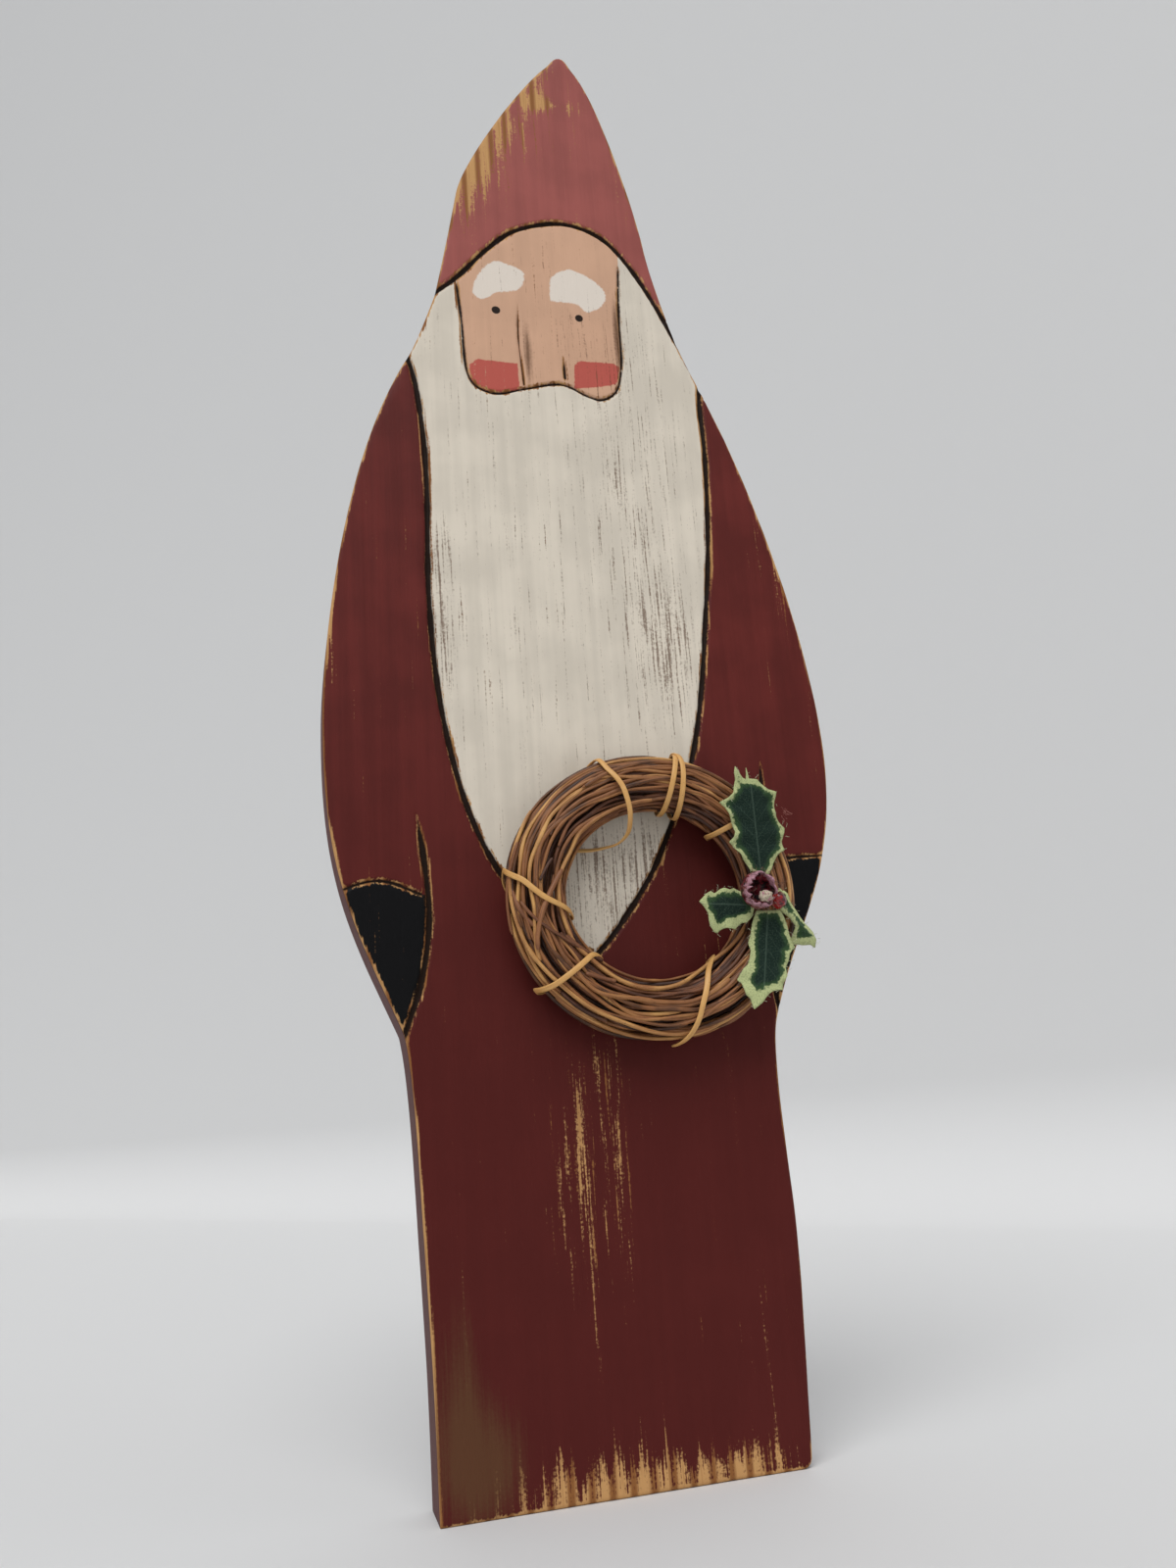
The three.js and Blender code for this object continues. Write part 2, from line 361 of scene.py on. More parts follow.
def depth_inside(points: np.ndarray, polygon: np.ndarray) -> np.ndarray:
    """Return how far each point is inside a closed polygon, negative outside it."""
    gap, _ = nearest(points, np.concatenate([polygon, polygon[:1]]))
    return np.where(within(points, polygon), gap, -gap)


def beside(line: np.ndarray, offset: float) -> np.ndarray:
    """Return a line moved sideways, to its left where offset is positive."""
    step = np.gradient(line, axis=0)
    step /= np.linalg.norm(step, axis=1)[:, None] + 1e-12
    return line + offset * np.stack([-step[:, 1], step[:, 0]], axis=1)


def inset(ring: np.ndarray, offset: float) -> np.ndarray:
    """Return a closed ring moved inwards. The ring runs clockwise."""
    step = np.roll(ring, -1, axis=0) - np.roll(ring, 1, axis=0)
    step /= np.linalg.norm(step, axis=1)[:, None] + 1e-12
    return ring + offset * np.stack([step[:, 1], -step[:, 0]], axis=1)


def staggered(low: np.ndarray, high: np.ndarray, spacing: float) -> np.ndarray:
    """Return a grid of points in a box, every other row moved by half a step."""
    xs = np.arange(low[0], high[0], spacing)
    zs = np.arange(low[1], high[1], spacing * 0.866)
    x, z = np.meshgrid(xs, zs)
    x[1::2] += spacing / 2
    return np.stack([x.ravel(), z.ravel()], axis=1)


def spread_out(groups: Iterable[tuple[np.ndarray, float]]) -> np.ndarray:
    """Join groups of points, dropping a later one that is too near an earlier one.

    Args:
        groups: Points and the room that each of them needs, the most wanted first.

    Returns:
        The points that are kept.
    """
    cell = 1.0
    kept: list[tuple[float, float]] = []
    grid: dict[tuple[int, int], list[int]] = {}
    for points, room in groups:
        reach = math.ceil(room / cell)
        for x, z in points.tolist():
            i, j = math.floor(x / cell), math.floor(z / cell)
            close = False
            for di in range(-reach, reach + 1):
                for dj in range(-reach, reach + 1):
                    for k in grid.get((i + di, j + dj), ()):
                        if (kept[k][0] - x) ** 2 + (kept[k][1] - z) ** 2 < room**2:
                            close = True
            if not close:
                grid.setdefault((i, j), []).append(len(kept))
                kept.append((x, z))
    return np.array(kept)


def ripple(place: np.ndarray, seed: int, waves: Sequence[float]) -> np.ndarray:
    """Return a smooth uneven value from about -1 to 1 along a line.

    Args:
        place: Distance along the line.
        seed: Which of the many such values.
        waves: The lengths of the waves in it, the strongest first.

    Returns:
        One value for each place.
    """
    chance = np.random.default_rng(seed)
    total = np.zeros_like(place, dtype=float)
    for rank, length in enumerate(waves):
        total += np.sin(2 * math.pi * (place / length + chance.random())) / (rank + 1)
    return total / sum(1 / (rank + 1) for rank in range(len(waves)))


@dataclass
class Skin:
    """A mesh in the making: places in millimetres, faces, and numbers stored at its points."""

    places: list[np.ndarray] = field(default_factory=list)
    faces: list[tuple[int, ...]] = field(default_factory=list)
    stored: dict[str, list[np.ndarray]] = field(default_factory=dict)
    count: int = 0

    def lay(self, places: np.ndarray, **stored: np.ndarray) -> int:
        """Add points and what they store, and return the number of the first."""
        first = self.count
        self.places.append(places)
        for name, values in stored.items():
            self.stored.setdefault(name, []).append(values)
        self.count += len(places)
        return first

    def bridge(self, first: np.ndarray, second: np.ndarray, closed: bool = True) -> None:
        """Join two rows of points with quads, facing left of the way from first to second."""
        ends = len(first) if closed else len(first) - 1
        for i in range(ends):
            j = (i + 1) % len(first)
            self.faces.append((int(first[i]), int(first[j]), int(second[j]), int(second[i])))

    def piece(self, name: str, material: bpy.types.Material, smooth: bool = True) -> bpy.types.Object:
        """Make the Blender object.

        Args:
            name: The piece's name.
            material: Its finish.
            smooth: Whether it is shaded smooth.

        Returns:
            The object, at the origin, its place in its mesh.
        """
        mesh = bpy.data.meshes.new(name)
        mesh.from_pydata((np.concatenate(self.places) * MM).tolist(), [], self.faces)
        for label, parts in self.stored.items():
            values = np.concatenate(parts).astype(np.float32)
            kind, field_name = ("FLOAT", "value") if values.ndim == 1 else ("FLOAT_VECTOR", "vector")
            layer = mesh.attributes.new(label, kind, "POINT")
            layer.data.foreach_set(field_name, values.ravel())
        mesh.polygons.foreach_set("use_smooth", [smooth] * len(mesh.polygons))
        mesh.materials.append(material)
        mesh.update()
        piece = bpy.data.objects.new(name, mesh)
        bpy.context.scene.collection.objects.link(piece)
        return piece


def triangulated(points: np.ndarray, loops: Sequence[np.ndarray], polygon: np.ndarray) -> np.ndarray:
    """Join points into triangles, inside a polygon.

    Args:
        points: All points.
        loops: Rows of point numbers whose joins have to be edges.
        polygon: Triangles outside this are dropped.

    Returns:
        Three point numbers for each triangle, anticlockwise.
    """
    edges = [(int(a), int(b)) for loop in loops for a, b in zip(loop, loop[1:])]
    made = delaunay_2d_cdt([Vector(p) for p in points.tolist()], edges, [], 0, 1e-6, True)
    origin = np.array([was[0] if was else -1 for was in made[3]])
    triangles = origin[np.array([face for face in made[2] if len(face) == 3])]
    triangles = triangles[(triangles >= 0).all(1)]
    centres = points[triangles].mean(1)
    triangles = triangles[within(centres, polygon)]
    a, b, c = (points[triangles[:, k]] for k in range(3))
    area = (b[:, 0] - a[:, 0]) * (c[:, 1] - a[:, 1]) - (b[:, 1] - a[:, 1]) * (c[:, 0] - a[:, 0])
    triangles = triangles[np.abs(area) > 1e-9]
    flip = area[np.abs(area) > 1e-9] < 0
    triangles[flip] = triangles[flip][:, ::-1]
    return triangles


# The board


@dataclass(frozen=True)
class Gouge:
    """A line cut with a V gouge."""

    through: Sequence[Pair]
    depth: float
    fades_in: float = 0.0
    fades_out: float = 0.0

    def line(self, spacing: float = 1.4) -> np.ndarray:
        """Return the line's own points."""
        return smooth_through(self.through, spacing)

    def depth_at(self, place: np.ndarray, length: float) -> np.ndarray:
        """Return the depth of the cut, which the gouge enters and leaves gently."""
        depth = self.depth * (1 + 0.12 * ripple(place, int(length * 10), (23, 11, 6)))
        if self.fades_in:
            depth = depth * np.clip(place / self.fades_in, 0.05, 1) ** 0.6
        if self.fades_out:
            depth = depth * np.clip((length - place) / self.fades_out, 0.05, 1) ** 0.6
        return depth


@dataclass(frozen=True)
class Patch:
    """A soft oval patch, strongest in its middle."""

    x: float
    z: float
    wide: float
    high: float
    amount: float

    def on(self, points: np.ndarray) -> np.ndarray:
        """Return its strength at points on the board."""
        away = ((points[:, 0] - self.x) / self.wide) ** 2 + ((points[:, 1] - self.z) / self.high) ** 2
        return self.amount * np.exp(-away)


def patched(patches: Iterable[Patch], points: np.ndarray) -> np.ndarray:
    """Return the summed strength of patches at points."""
    return sum((patch.on(points) for patch in patches), np.zeros(len(points)))


@dataclass(frozen=True)
class WornPaint:
    """Flat paint on pine, sanded through on edges and along the grain, with painted shade low on the robe."""

    robe: Colour = paint_mix(98, 38, 34)
    # Painted shade: a darker robe for the lower board, where the light falls off.
    shaded_robe: Colour = paint_mix(78, 26, 23)
    hat: Colour = paint_mix(154, 84, 78)
    beard: Colour = paint_mix(222, 212, 196)
    face: Colour = paint_mix(206, 164, 136)
    mitten: Colour = paint_mix(9, 9, 11)
    brow: Colour = paint_mix(226, 216, 204)
    cheek: Colour = paint_mix(182, 78, 70)
    pine: Colour = paint_mix(196, 150, 98)
    late_wood: Colour = paint_mix(140, 92, 52)
    burn: Colour = paint_mix(34, 22, 16)
    glaze: Colour = paint_mix(92, 62, 40)

    def material(self) -> bpy.types.Material:
        """Build the finish from what the board's mesh stores."""
        g = FinishGraph("painted_pine")
        place = g.millimetres()
        grain = g.stretched(place, (1, 1, 0.03))
        fine = g.noise(grain, 1.1, 4, 0.6)
        broad = g.noise(grain, 0.28, 3)
        cloud = g.noise(place, 0.045, 3)
        speck = g.noise(place, 1.4, 2)
        streak = fine * 0.5 + broad * 0.3 + speck * 0.2

        front = g.stored("front")
        edge = g.stored("edge") + (speck - 0.5) * 1.6
        cut = g.stored("cut") + (speck - 0.5) * 0.5
        rough_edge = (speck - 0.5) * 0.9 + (fine - 0.5) * 0.6

        rings = g.add(
            "ShaderNodeTexWave",
            {"Vector": g.stretched(place, (1, 1, 0.07)), "Scale": 0.05, "Distortion": 3.0, "Detail": 2.0,
             "Detail Scale": 0.4},
            bands_direction="X",
        ).outputs["Fac"]
        ring = g.smooth(Value(g, rings) * 0.8 + fine * 0.4, 0.55, 1.0)
        wood = g.mixed(ring, self.pine, self.late_wood)
        wood = g.mixed(g.smooth(fine, 0.52, 0.7) * 0.5, wood, self.late_wood)

        tone = g.smooth(cloud * 0.6 + broad * 0.4, 0.36, 0.64)
        robe = g.mixed(tone, tuple(0.82 * c for c in self.robe), tuple(1.12 * c for c in self.robe))
        height_up = Value(g, g.add("ShaderNodeSeparateXYZ", {0: place}).outputs[2])
        # Painted shade: the robe darkens towards the foot, as the light falls off lower down.
        robe = g.mixed(g.smooth(height_up, 320.0, 120.0) * 0.8, robe, self.shaded_robe)
        hat = g.mixed(tone, tuple(0.9 * c for c in self.hat), tuple(1.08 * c for c in self.hat))
        paint = g.mixed(g.smooth(g.stored("hat") + rough_edge, -0.2, 0.2), robe, hat)
        paint = g.mixed(g.smooth(g.stored("mitten") + rough_edge, -0.2, 0.2), paint, self.mitten)
        white = g.mixed(tone, tuple(0.86 * c for c in self.beard), self.beard)
        in_beard = g.smooth(g.stored("beard") + rough_edge, -0.2, 0.2)
        paint = g.mixed(in_beard, paint, white)
        skin = g.mixed(tone, tuple(0.94 * c for c in self.face), tuple(1.04 * c for c in self.face))
        in_face = g.smooth(g.stored("face") + rough_edge, -0.2, 0.2)
        paint = g.mixed(in_face, paint, skin)
        cheek = g.smooth(g.stored("cheek") + rough_edge, 0.0, 0.5) * g.smooth(streak, 0.66, 0.58)
        paint = g.mixed(cheek * in_face * 0.92, paint, self.cheek)
        brow = g.smooth(g.stored("brow") + rough_edge * 1.6, 0.0, 0.7)
        paint = g.mixed(brow * 0.95, paint, self.brow)
        paint = g.mixed(g.smooth(g.stored("eye"), -0.15, 0.15), paint, self.burn)

        worn = g.stored("wear") + g.smooth(edge, 1.7, -0.2) * 0.26 + g.smooth(cut, 0.9, -0.4) * 0.17
        bare = g.smooth(streak + worn, 0.62, 0.70)
        surface = g.mixed(bare, paint, wood)

        pale = g.math("MAXIMUM", in_beard, in_face)
        scratch = g.smooth(fine * 0.75 + speck * 0.25 + g.stored("scratch"), 0.60, 0.74) * pale
        surface = g.mixed(scratch * 0.75, surface, self.glaze)
        surface = g.mixed(g.smooth(g.stored("stain") + (streak - 0.5) * 0.8, 0.1, 0.5) * 0.8, surface, self.glaze)
        burnt = g.smooth(cut, -0.3, -0.9) * front
        surface = g.mixed(burnt, surface, self.burn)

        height = fine * 0.35 + ring * 0.1 - bare * 0.35 - scratch * 0.3 + speck * 0.1
        g.bump(height, 0.16, 0.8)
        rough = g.smooth(bare * 0.5 + (fine - 0.5) * 0.5 + burnt * 0.4, -0.3, 1.1) * 0.35 + 0.48
        return g.finish(Base_Color=surface, Roughness=rough, Specular_IOR_Level=0.12)


@dataclass
class FigureBoard:
    """The sawn board with its gouged lines and painted areas."""

    thick: float = 19.0
    top: Pair = (13, 547.5)
    foot_left: Pair = (-58.7, 0)
    foot_right: Pair = (56, 0)
    left_side: tuple = (
        ((-59, 36), (-59, 36), (-60.3, 70)),
        ((-61.4, 95), (-61.6, 124), (-64.9, 141)),
        ((-81.7, 179.3), (-90, 195.5), (-89.2, 250)),
        ((-88.9, 271.5), (-82, 347.3), (-55.8, 393)),
        ((-53.3, 397.3), (-47.4, 413.7), (-44.8, 421.5)),
        ((-41.7, 435.2), (-36, 462.7), (-34.7, 470)),
        ((-31.7, 486.8), (-4.5, 530.3), (6, 541)),
        ((8.8, 543.9), (9.8, 547.5), (13, 547.5)),
    )
    right_side: tuple = (
        ((15.6, 547.5), (16.4, 543.8), (18.3, 541)),
        ((28.7, 528.1), (41.1, 468.6), (42.6, 455)),
        ((43.7, 445.8), (49.6, 415.5), (58.7, 394)),
        ((76.1, 353.2), (93.7, 289.1), (94.7, 242)),
        ((95.9, 191), (76.7, 176.4), (64.1, 140)),
        ((59.9, 128.2), (62.9, 92.2), (62.5, 70)),
        ((62.1, 49.7), (61, 36.5), (59, 3.5)),
        ((58.9, 1.5), (57.8, 0), (56, 0)),
    )
    hat_band: Gouge = Gouge(
        ((-49, 418.5), (-36, 430.5), (-24, 444.5), (-14, 454), (-4, 459), (7, 461.7), (17, 460.5),
         (26, 456), (36, 444), (46, 425.5), (52, 412), (57.5, 400)), 1.6)
    face_line: Gouge = Gouge(
        ((-36.5, 430), (-35, 412), (-33.5, 387), (-30.5, 382), (-23, 379.6), (-11, 382.8), (3.4, 386),
         (14, 381.6), (19, 380.7), (25, 384.5), (28.2, 394.6), (29.3, 420), (30.8, 444.5)), 1.1, 5, 4)
    nose: Gouge = Gouge(((-12.3, 421), (-12.8, 404), (-11.7, 384.5)), 0.8, 8)
    nostril: Gouge = Gouge(((4.8, 398.6), (4.9, 389)), 1.1, 5)
    beard_left: Gouge = Gouge(
        ((-58.5, 397), (-54.7, 385.8), (-51.6, 360), (-50.9, 338.5), (-51.6, 290), (-48.6, 250),
         (-40.5, 213.6), (-29.7, 190.7), (-15, 174.5), (0, 163)), 1.6)
    beard_right: Gouge = Gouge(
        ((61.5, 396), (60, 384.5), (59.9, 360), (56.8, 317), (53, 290), (48, 259), (41.7, 233),
         (31.1, 208), (23, 192), (8.2, 171.8), (0, 163)), 1.6)
    arm_left: Gouge = Gouge(((-58.7, 213.6), (-56.4, 194.7), (-55.6, 178), (-58.7, 158), (-66.5, 136)), 1.6, 10)
    arm_right: Gouge = Gouge(
        ((68.3, 232.6), (67.5, 219), (64.8, 196), (63.2, 172), (64.4, 148), (66.5, 137)), 1.6, 10)
    cuff_left: Gouge = Gouge(((-89, 185.5), (-78.3, 190), (-70, 190.7), (-58, 186)), 1.1)
    cuff_right: Gouge = Gouge(((66, 194.5), (75, 196.2), (93, 197)), 1.1)
    brows: tuple = (
        ((-30.3, 423), (-30, 427), (-27.5, 433), (-24, 437.5), (-20, 440), (-15, 439), (-11, 437.5),
         (-8.8, 435.5), (-9.5, 430), (-12, 427), (-16, 425.5), (-21, 424.5), (-24, 422), (-27.5, 421)),
        ((0.5, 426), (2, 435), (6, 438.5), (10, 440), (16, 438), (21, 435), (24.5, 430), (23.5, 425),
         (19, 421), (15, 420), (12, 423), (6, 423.5), (1.5, 423.5)),
    )
    cheeks: tuple = (
        ((-33, 380), (-33, 391), (-30, 394), (-13.6, 393.6), (-13.4, 380)),
        ((8, 384), (8.6, 395), (11, 397.4), (25, 397.8), (28, 396), (26, 388), (19, 386)),
    )
    eyes: tuple = ((-21.2, 416.8, 1.75), (12.4, 417.0, 1.65))
    wear: tuple = (
        Patch(-31, 470, 7, 20, 0.16), Patch(-25, 488, 9, 16, 0.2), Patch(-13, 508, 9, 14, 0.18),
        Patch(0, 528, 7, 12, 0.16), Patch(8, 541, 6, 7, 0.14), Patch(6, 521, 17, 4, 0.14),
        Patch(34, 492, 4, 30, 0.08), Patch(0, 490, 28, 28, 0.03), Patch(-10, 92, 16, 34, 0.1),
        Patch(0, 125, 14, 18, 0.06), Patch(-8, 2, 34, 11, 0.22), Patch(34, 3, 20, 7, 0.16),
        Patch(85, 318, 8, 30, 0.1), Patch(-86, 290, 4, 60, 0.04),
    )
    scratches: tuple = (
        Patch(36, 275, 12, 28, 0.13), Patch(-47, 290, 5, 32, 0.14), Patch(10, 190, 30, 25, 0.14),
        Patch(30, 340, 20, 50, 0.08), Patch(20, 400, 26, 30, 0.05), Patch(-10, 290, 60, 90, 0.03),
    )
    stains: tuple = (
        Patch(-46, 14, 14, 18, 0.5), Patch(-9.5, 398, 1.8, 16, 0.45), Patch(27.5, 410, 1.6, 22, 0.5),
        Patch(-52, 40, 8, 26, 0.3),
    )

    def gouges(self) -> list[Gouge]:
        """Return every gouged line."""
        return [
            self.hat_band, self.face_line, self.nose, self.nostril, self.beard_left, self.beard_right,
            self.arm_left, self.arm_right, self.cuff_left, self.cuff_right,
        ]

    def outline(self, spacing: float = 1.5) -> np.ndarray:
        """Return the sawn outline as a clockwise ring."""
        run = along_cubics(self.foot_left, self.left_side + self.right_side, spacing)
        foot = evenly(np.array([self.foot_right, self.foot_left], float), spacing)
        return np.concatenate([run[:-1], foot[:-1]])

    def origin(self) -> np.ndarray:
        """Return where the board's x = 0, painted face and z = 0 are in the part's own frame."""
        low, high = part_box("santa_board")
        ring = self.outline()
        middle = (ring[:, 0].min() + ring[:, 0].max()) / 2
        return np.array([(low.x + high.x) / 2 / MM - middle, low.y / MM, low.z / MM])

    def areas(self) -> dict[str, np.ndarray]:
        """Return the painted areas as closed polygons, each reaching past the board's edge."""
        band, face = self.hat_band.line(), self.face_line.line()
        left, right = self.beard_left.line(), self.beard_right.line()
        arm, arm_right = self.arm_left.line(), self.arm_right.line()
        return {
            "hat": np.concatenate([[(-120, 380)], band, [(120, 330), (120, 600), (-120, 600)]]),
            "face": np.concatenate([face, [(31, 470), (-37, 470)]]),
            "beard": np.concatenate([left, right[::-1][1:], [(120, 420), (120, 500), (-120, 500), (-120, 400)]]),
            "mitten_left": np.concatenate(
                [[(-120, 184)], self.cuff_left.line(), arm[arm[:, 1] < 186], [(-68, 120), (-120, 120)]]),
            "mitten_right": np.concatenate(
                [[(120, 197)], self.cuff_right.line()[::-1], arm_right[arm_right[:, 1] < 194],
                 [(67, 120), (120, 120)]]),
        }

    def marks(self, points: np.ndarray, front: float, edge: np.ndarray) -> dict[str, np.ndarray]:
        """Work out what the finish needs to know at points of the board.

        Args:
            points: Places on the board.
            front: 1 on the painted face and 0 on the sides and the back.
            edge: Distance of each place from the nearest sawn corner.

        Returns:
            Numbers by name.
        """
        far = np.full(len(points), -20.0)
        areas = self.areas()
        made = {"front": np.full(len(points), front), "edge": np.clip(edge, -20, 20)}
        made["hat"] = np.clip(depth_inside(points, areas["hat"]), -20, 20)
        if not front:
            made |= {name: far for name in ("face", "beard", "mitten", "brow", "cheek", "eye")}
            made |= {"cut": -far, "wear": 0.0 * far, "scratch": 0.0 * far, "stain": 0.0 * far}
            return made
        made["beard"] = np.minimum(depth_inside(points, areas["beard"]), -made["hat"])
        made["face"] = np.minimum(depth_inside(points, areas["face"]), -made["hat"])
        made["mitten"] = np.maximum(
            depth_inside(points, areas["mitten_left"]), depth_inside(points, areas["mitten_right"]))
        made["brow"] = np.maximum.reduce(
            [depth_inside(points, smooth_through((*b, b[0]), 0.8)) for b in self.brows])
        made["cheek"] = np.maximum.reduce([depth_inside(points, np.array(c, float)) for c in self.cheeks])
        made["eye"] = np.maximum.reduce(
            [r - np.hypot(points[:, 0] - x, points[:, 1] - z) for x, z, r in self.eyes])
        made["cut"] = np.clip(self.cuts(points)[1], -20, 20)
        made["wear"] = patched(self.wear, points)
        made["scratch"] = patched(self.scratches, points)
        made["stain"] = patched(self.stains, points)
        return made

    def cuts(self, points: np.ndarray) -> tuple[np.ndarray, np.ndarray]:
        """Measure the gouged lines at points.

        Args:
            points: Places on the board.

        Returns:
            How deep the cut is there, and the distance from its lip, negative inside the cut.
        """
        sunk, lip = np.zeros(len(points)), np.full(len(points), 20.0)
        for gouge in self.gouges():
            line = gouge.line()
            gap, place = nearest(points, line)
            length = np.linalg.norm(np.diff(line, axis=0), axis=1).sum()
            depth = gouge.depth_at(place, length)
            sunk = np.maximum(sunk, depth - gap)
            lip = np.minimum(lip, gap - depth)
        rounded = 0.5 * (sunk + np.sqrt(sunk**2 + 0.02)) - 0.07
        return np.clip(rounded, 0, None), lip

    def front_points(self, ring: np.ndarray) -> tuple[np.ndarray, list[np.ndarray]]:
        """Choose the points of the painted face.

        Args:
            ring: The outline.

        Returns:
            The points, the outline's own first, and the rows of point numbers that stay joined.
        """
        rails, valleys = [], []
        for gouge in self.gouges():
            line = gouge.line()
            inner = line[depth_inside(line, ring) > 0.3]
            valleys.append(inner)
            for share in (0.5, 1.0, 1.35):
                for side in (-1, 1):
                    rails.append(beside(line, side * share * gouge.depth))
        rails = np.concatenate(rails)
        rails = rails[depth_inside(rails, ring) > 0.4]
        rounds = np.concatenate([inset(ring, d) for d in (0.25, 0.7, 1.4)])
        face = staggered(np.array([-37.0, 376.0]), np.array([33.0, 464.0]), 1.0)
        grid = staggered(ring.min(0), ring.max(0), 2.0)
        grid = grid[depth_inside(grid, ring) > 1.8]
        points = spread_out([
            (ring, 0.0), (np.concatenate(valleys), 0.05), (rounds, 0.12), (rails, 0.3), (face, 0.7), (grid, 1.2)])
        loops = [np.append(np.arange(len(ring)), 0)]
        return points, loops

    def build(self, finish: WornPaint) -> bpy.types.Object:
        """Make the board, rounded at its sanded corners and lined on its painted face."""
        ring = self.outline()
        run = np.arange(len(ring)) * 1.5
        blunt = 1.0 + 0.45 * ripple(run, 5, (160, 60, 23))
        points, loops = self.front_points(ring)
        triangles = triangulated(points, loops, ring)
        inside = np.clip(depth_inside(points, ring), 0, None)
        inside[: len(ring)] = 0
        _, place = nearest(points, np.concatenate([ring, ring[:1]]))
        radius = np.interp(place, np.append(run, run[-1] + 1.5), np.append(blunt, blunt[0]))
        rounded = radius - np.sqrt(np.clip(radius**2 - np.clip(radius - inside, 0, None) ** 2, 0, None))
        sunk, _ = self.cuts(points)
        depth = np.maximum(rounded, sunk)
        skin = Skin()
        start = self.origin()

        def laid(flat: np.ndarray, back: np.ndarray, marks: dict[str, np.ndarray]) -> int:
            places = np.stack([flat[:, 0], np.broadcast_to(back, len(flat)), flat[:, 1]], axis=1)
            return skin.lay(places + start, **marks)

        laid(points, depth, self.marks(points, 1.0, inside))
        skin.faces += [tuple(t) for t in triangles.tolist()]
        above = np.arange(len(ring))
        side_depths = np.linspace(0, 1, 7)[1:]
        for share in side_depths:
            back = blunt + share * (self.thick - 2 * blunt)
            gap = np.minimum(back, self.thick - back)
            first = laid(ring, back, self.marks(ring, 0.0, gap))
            below = np.arange(first, first + len(ring))
            skin.bridge(above, below)
            above = below
        grid = staggered(ring.min(0), ring.max(0), 6.0)
        rounds = np.concatenate([inset(ring, d) for d in (0.3, 1.0)])
        back_points = spread_out([(ring, 0.0), (rounds, 0.12), (grid[depth_inside(grid, ring) > 3], 2.0)])
        back_triangles = triangulated(back_points, loops, ring)
        gap = np.clip(depth_inside(back_points, ring), 0, None)
        gap[: len(ring)] = 0
        _, place = nearest(back_points, np.concatenate([ring, ring[:1]]))
        radius = np.interp(place, np.append(run, run[-1] + 1.5), np.append(blunt, blunt[0]))
        lift = radius - np.sqrt(np.clip(radius**2 - np.clip(radius - gap, 0, None) ** 2, 0, None))
        beyond = back_points[len(ring) :]
        first = laid(beyond, (self.thick - lift)[len(ring) :], self.marks(beyond, 0.0, gap[len(ring) :]))
        number = np.concatenate([above, np.arange(first, first + len(beyond))])
        skin.faces += [tuple(t) for t in number[back_triangles[:, ::-1]].tolist()]
        board = skin.piece("painted_board", finish.material())
        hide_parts("santa_board")
        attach(board, "root")
        return board


# The wreath


@dataclass(frozen=True)
class VineBark:
    """Dry vine, from honey to dark brown, with fine lines along it, and painted shade on vines deep in the bundle."""

    name: str = "vine_bark"
    light: Colour = paint_mix(214, 164, 98)
    middle: Colour = paint_mix(146, 94, 54)
    dark: Colour = paint_mix(58, 34, 22)
    rough: float = 0.5

    def material(self) -> bpy.types.Material:
        """Build the finish from what the vines' mesh stores."""
        g = FinishGraph(self.name)
        round_it = g.add("ShaderNodeAttribute", attribute_name="skin").outputs["Vector"]
        parts = g.add("ShaderNodeSeparateXYZ", {0: round_it}).outputs
        along, tone, deep = g.stored("along"), g.stored("tone"), g.stored("deep")
        place = g.vector(Value(g, parts[0]), Value(g, parts[1]), along * 0.035 + tone * 40)
        line = g.noise(place, 3.2, 3, 0.6)
        cloud = g.noise(g.vector(along * 0.09, tone * 50, 0.0), 1.0, 3)
        speck = g.noise(g.millimetres(), 1.6, 2)
        # deep is painted shade: vines at the back of the bundle and in its inner layers are darkened.
        shade = tone * 0.62 + (cloud - 0.5) * 0.9 + (line - 0.5) * 0.9 - deep * 0.5 + 0.12
        bark = g.mixed(g.smooth(shade, 0.0, 0.45), self.dark, self.middle)
        bark = g.mixed(g.smooth(shade, 0.4, 0.95), bark, self.light)
        bark = g.mixed(g.smooth(speck, 0.66, 0.74) * 0.6, bark, self.dark)
        g.bump(line * 0.7 + speck * 0.3, 0.22, 0.7)
        return g.finish(Base_Color=bark, Roughness=self.rough, Specular_IOR_Level=0.4)


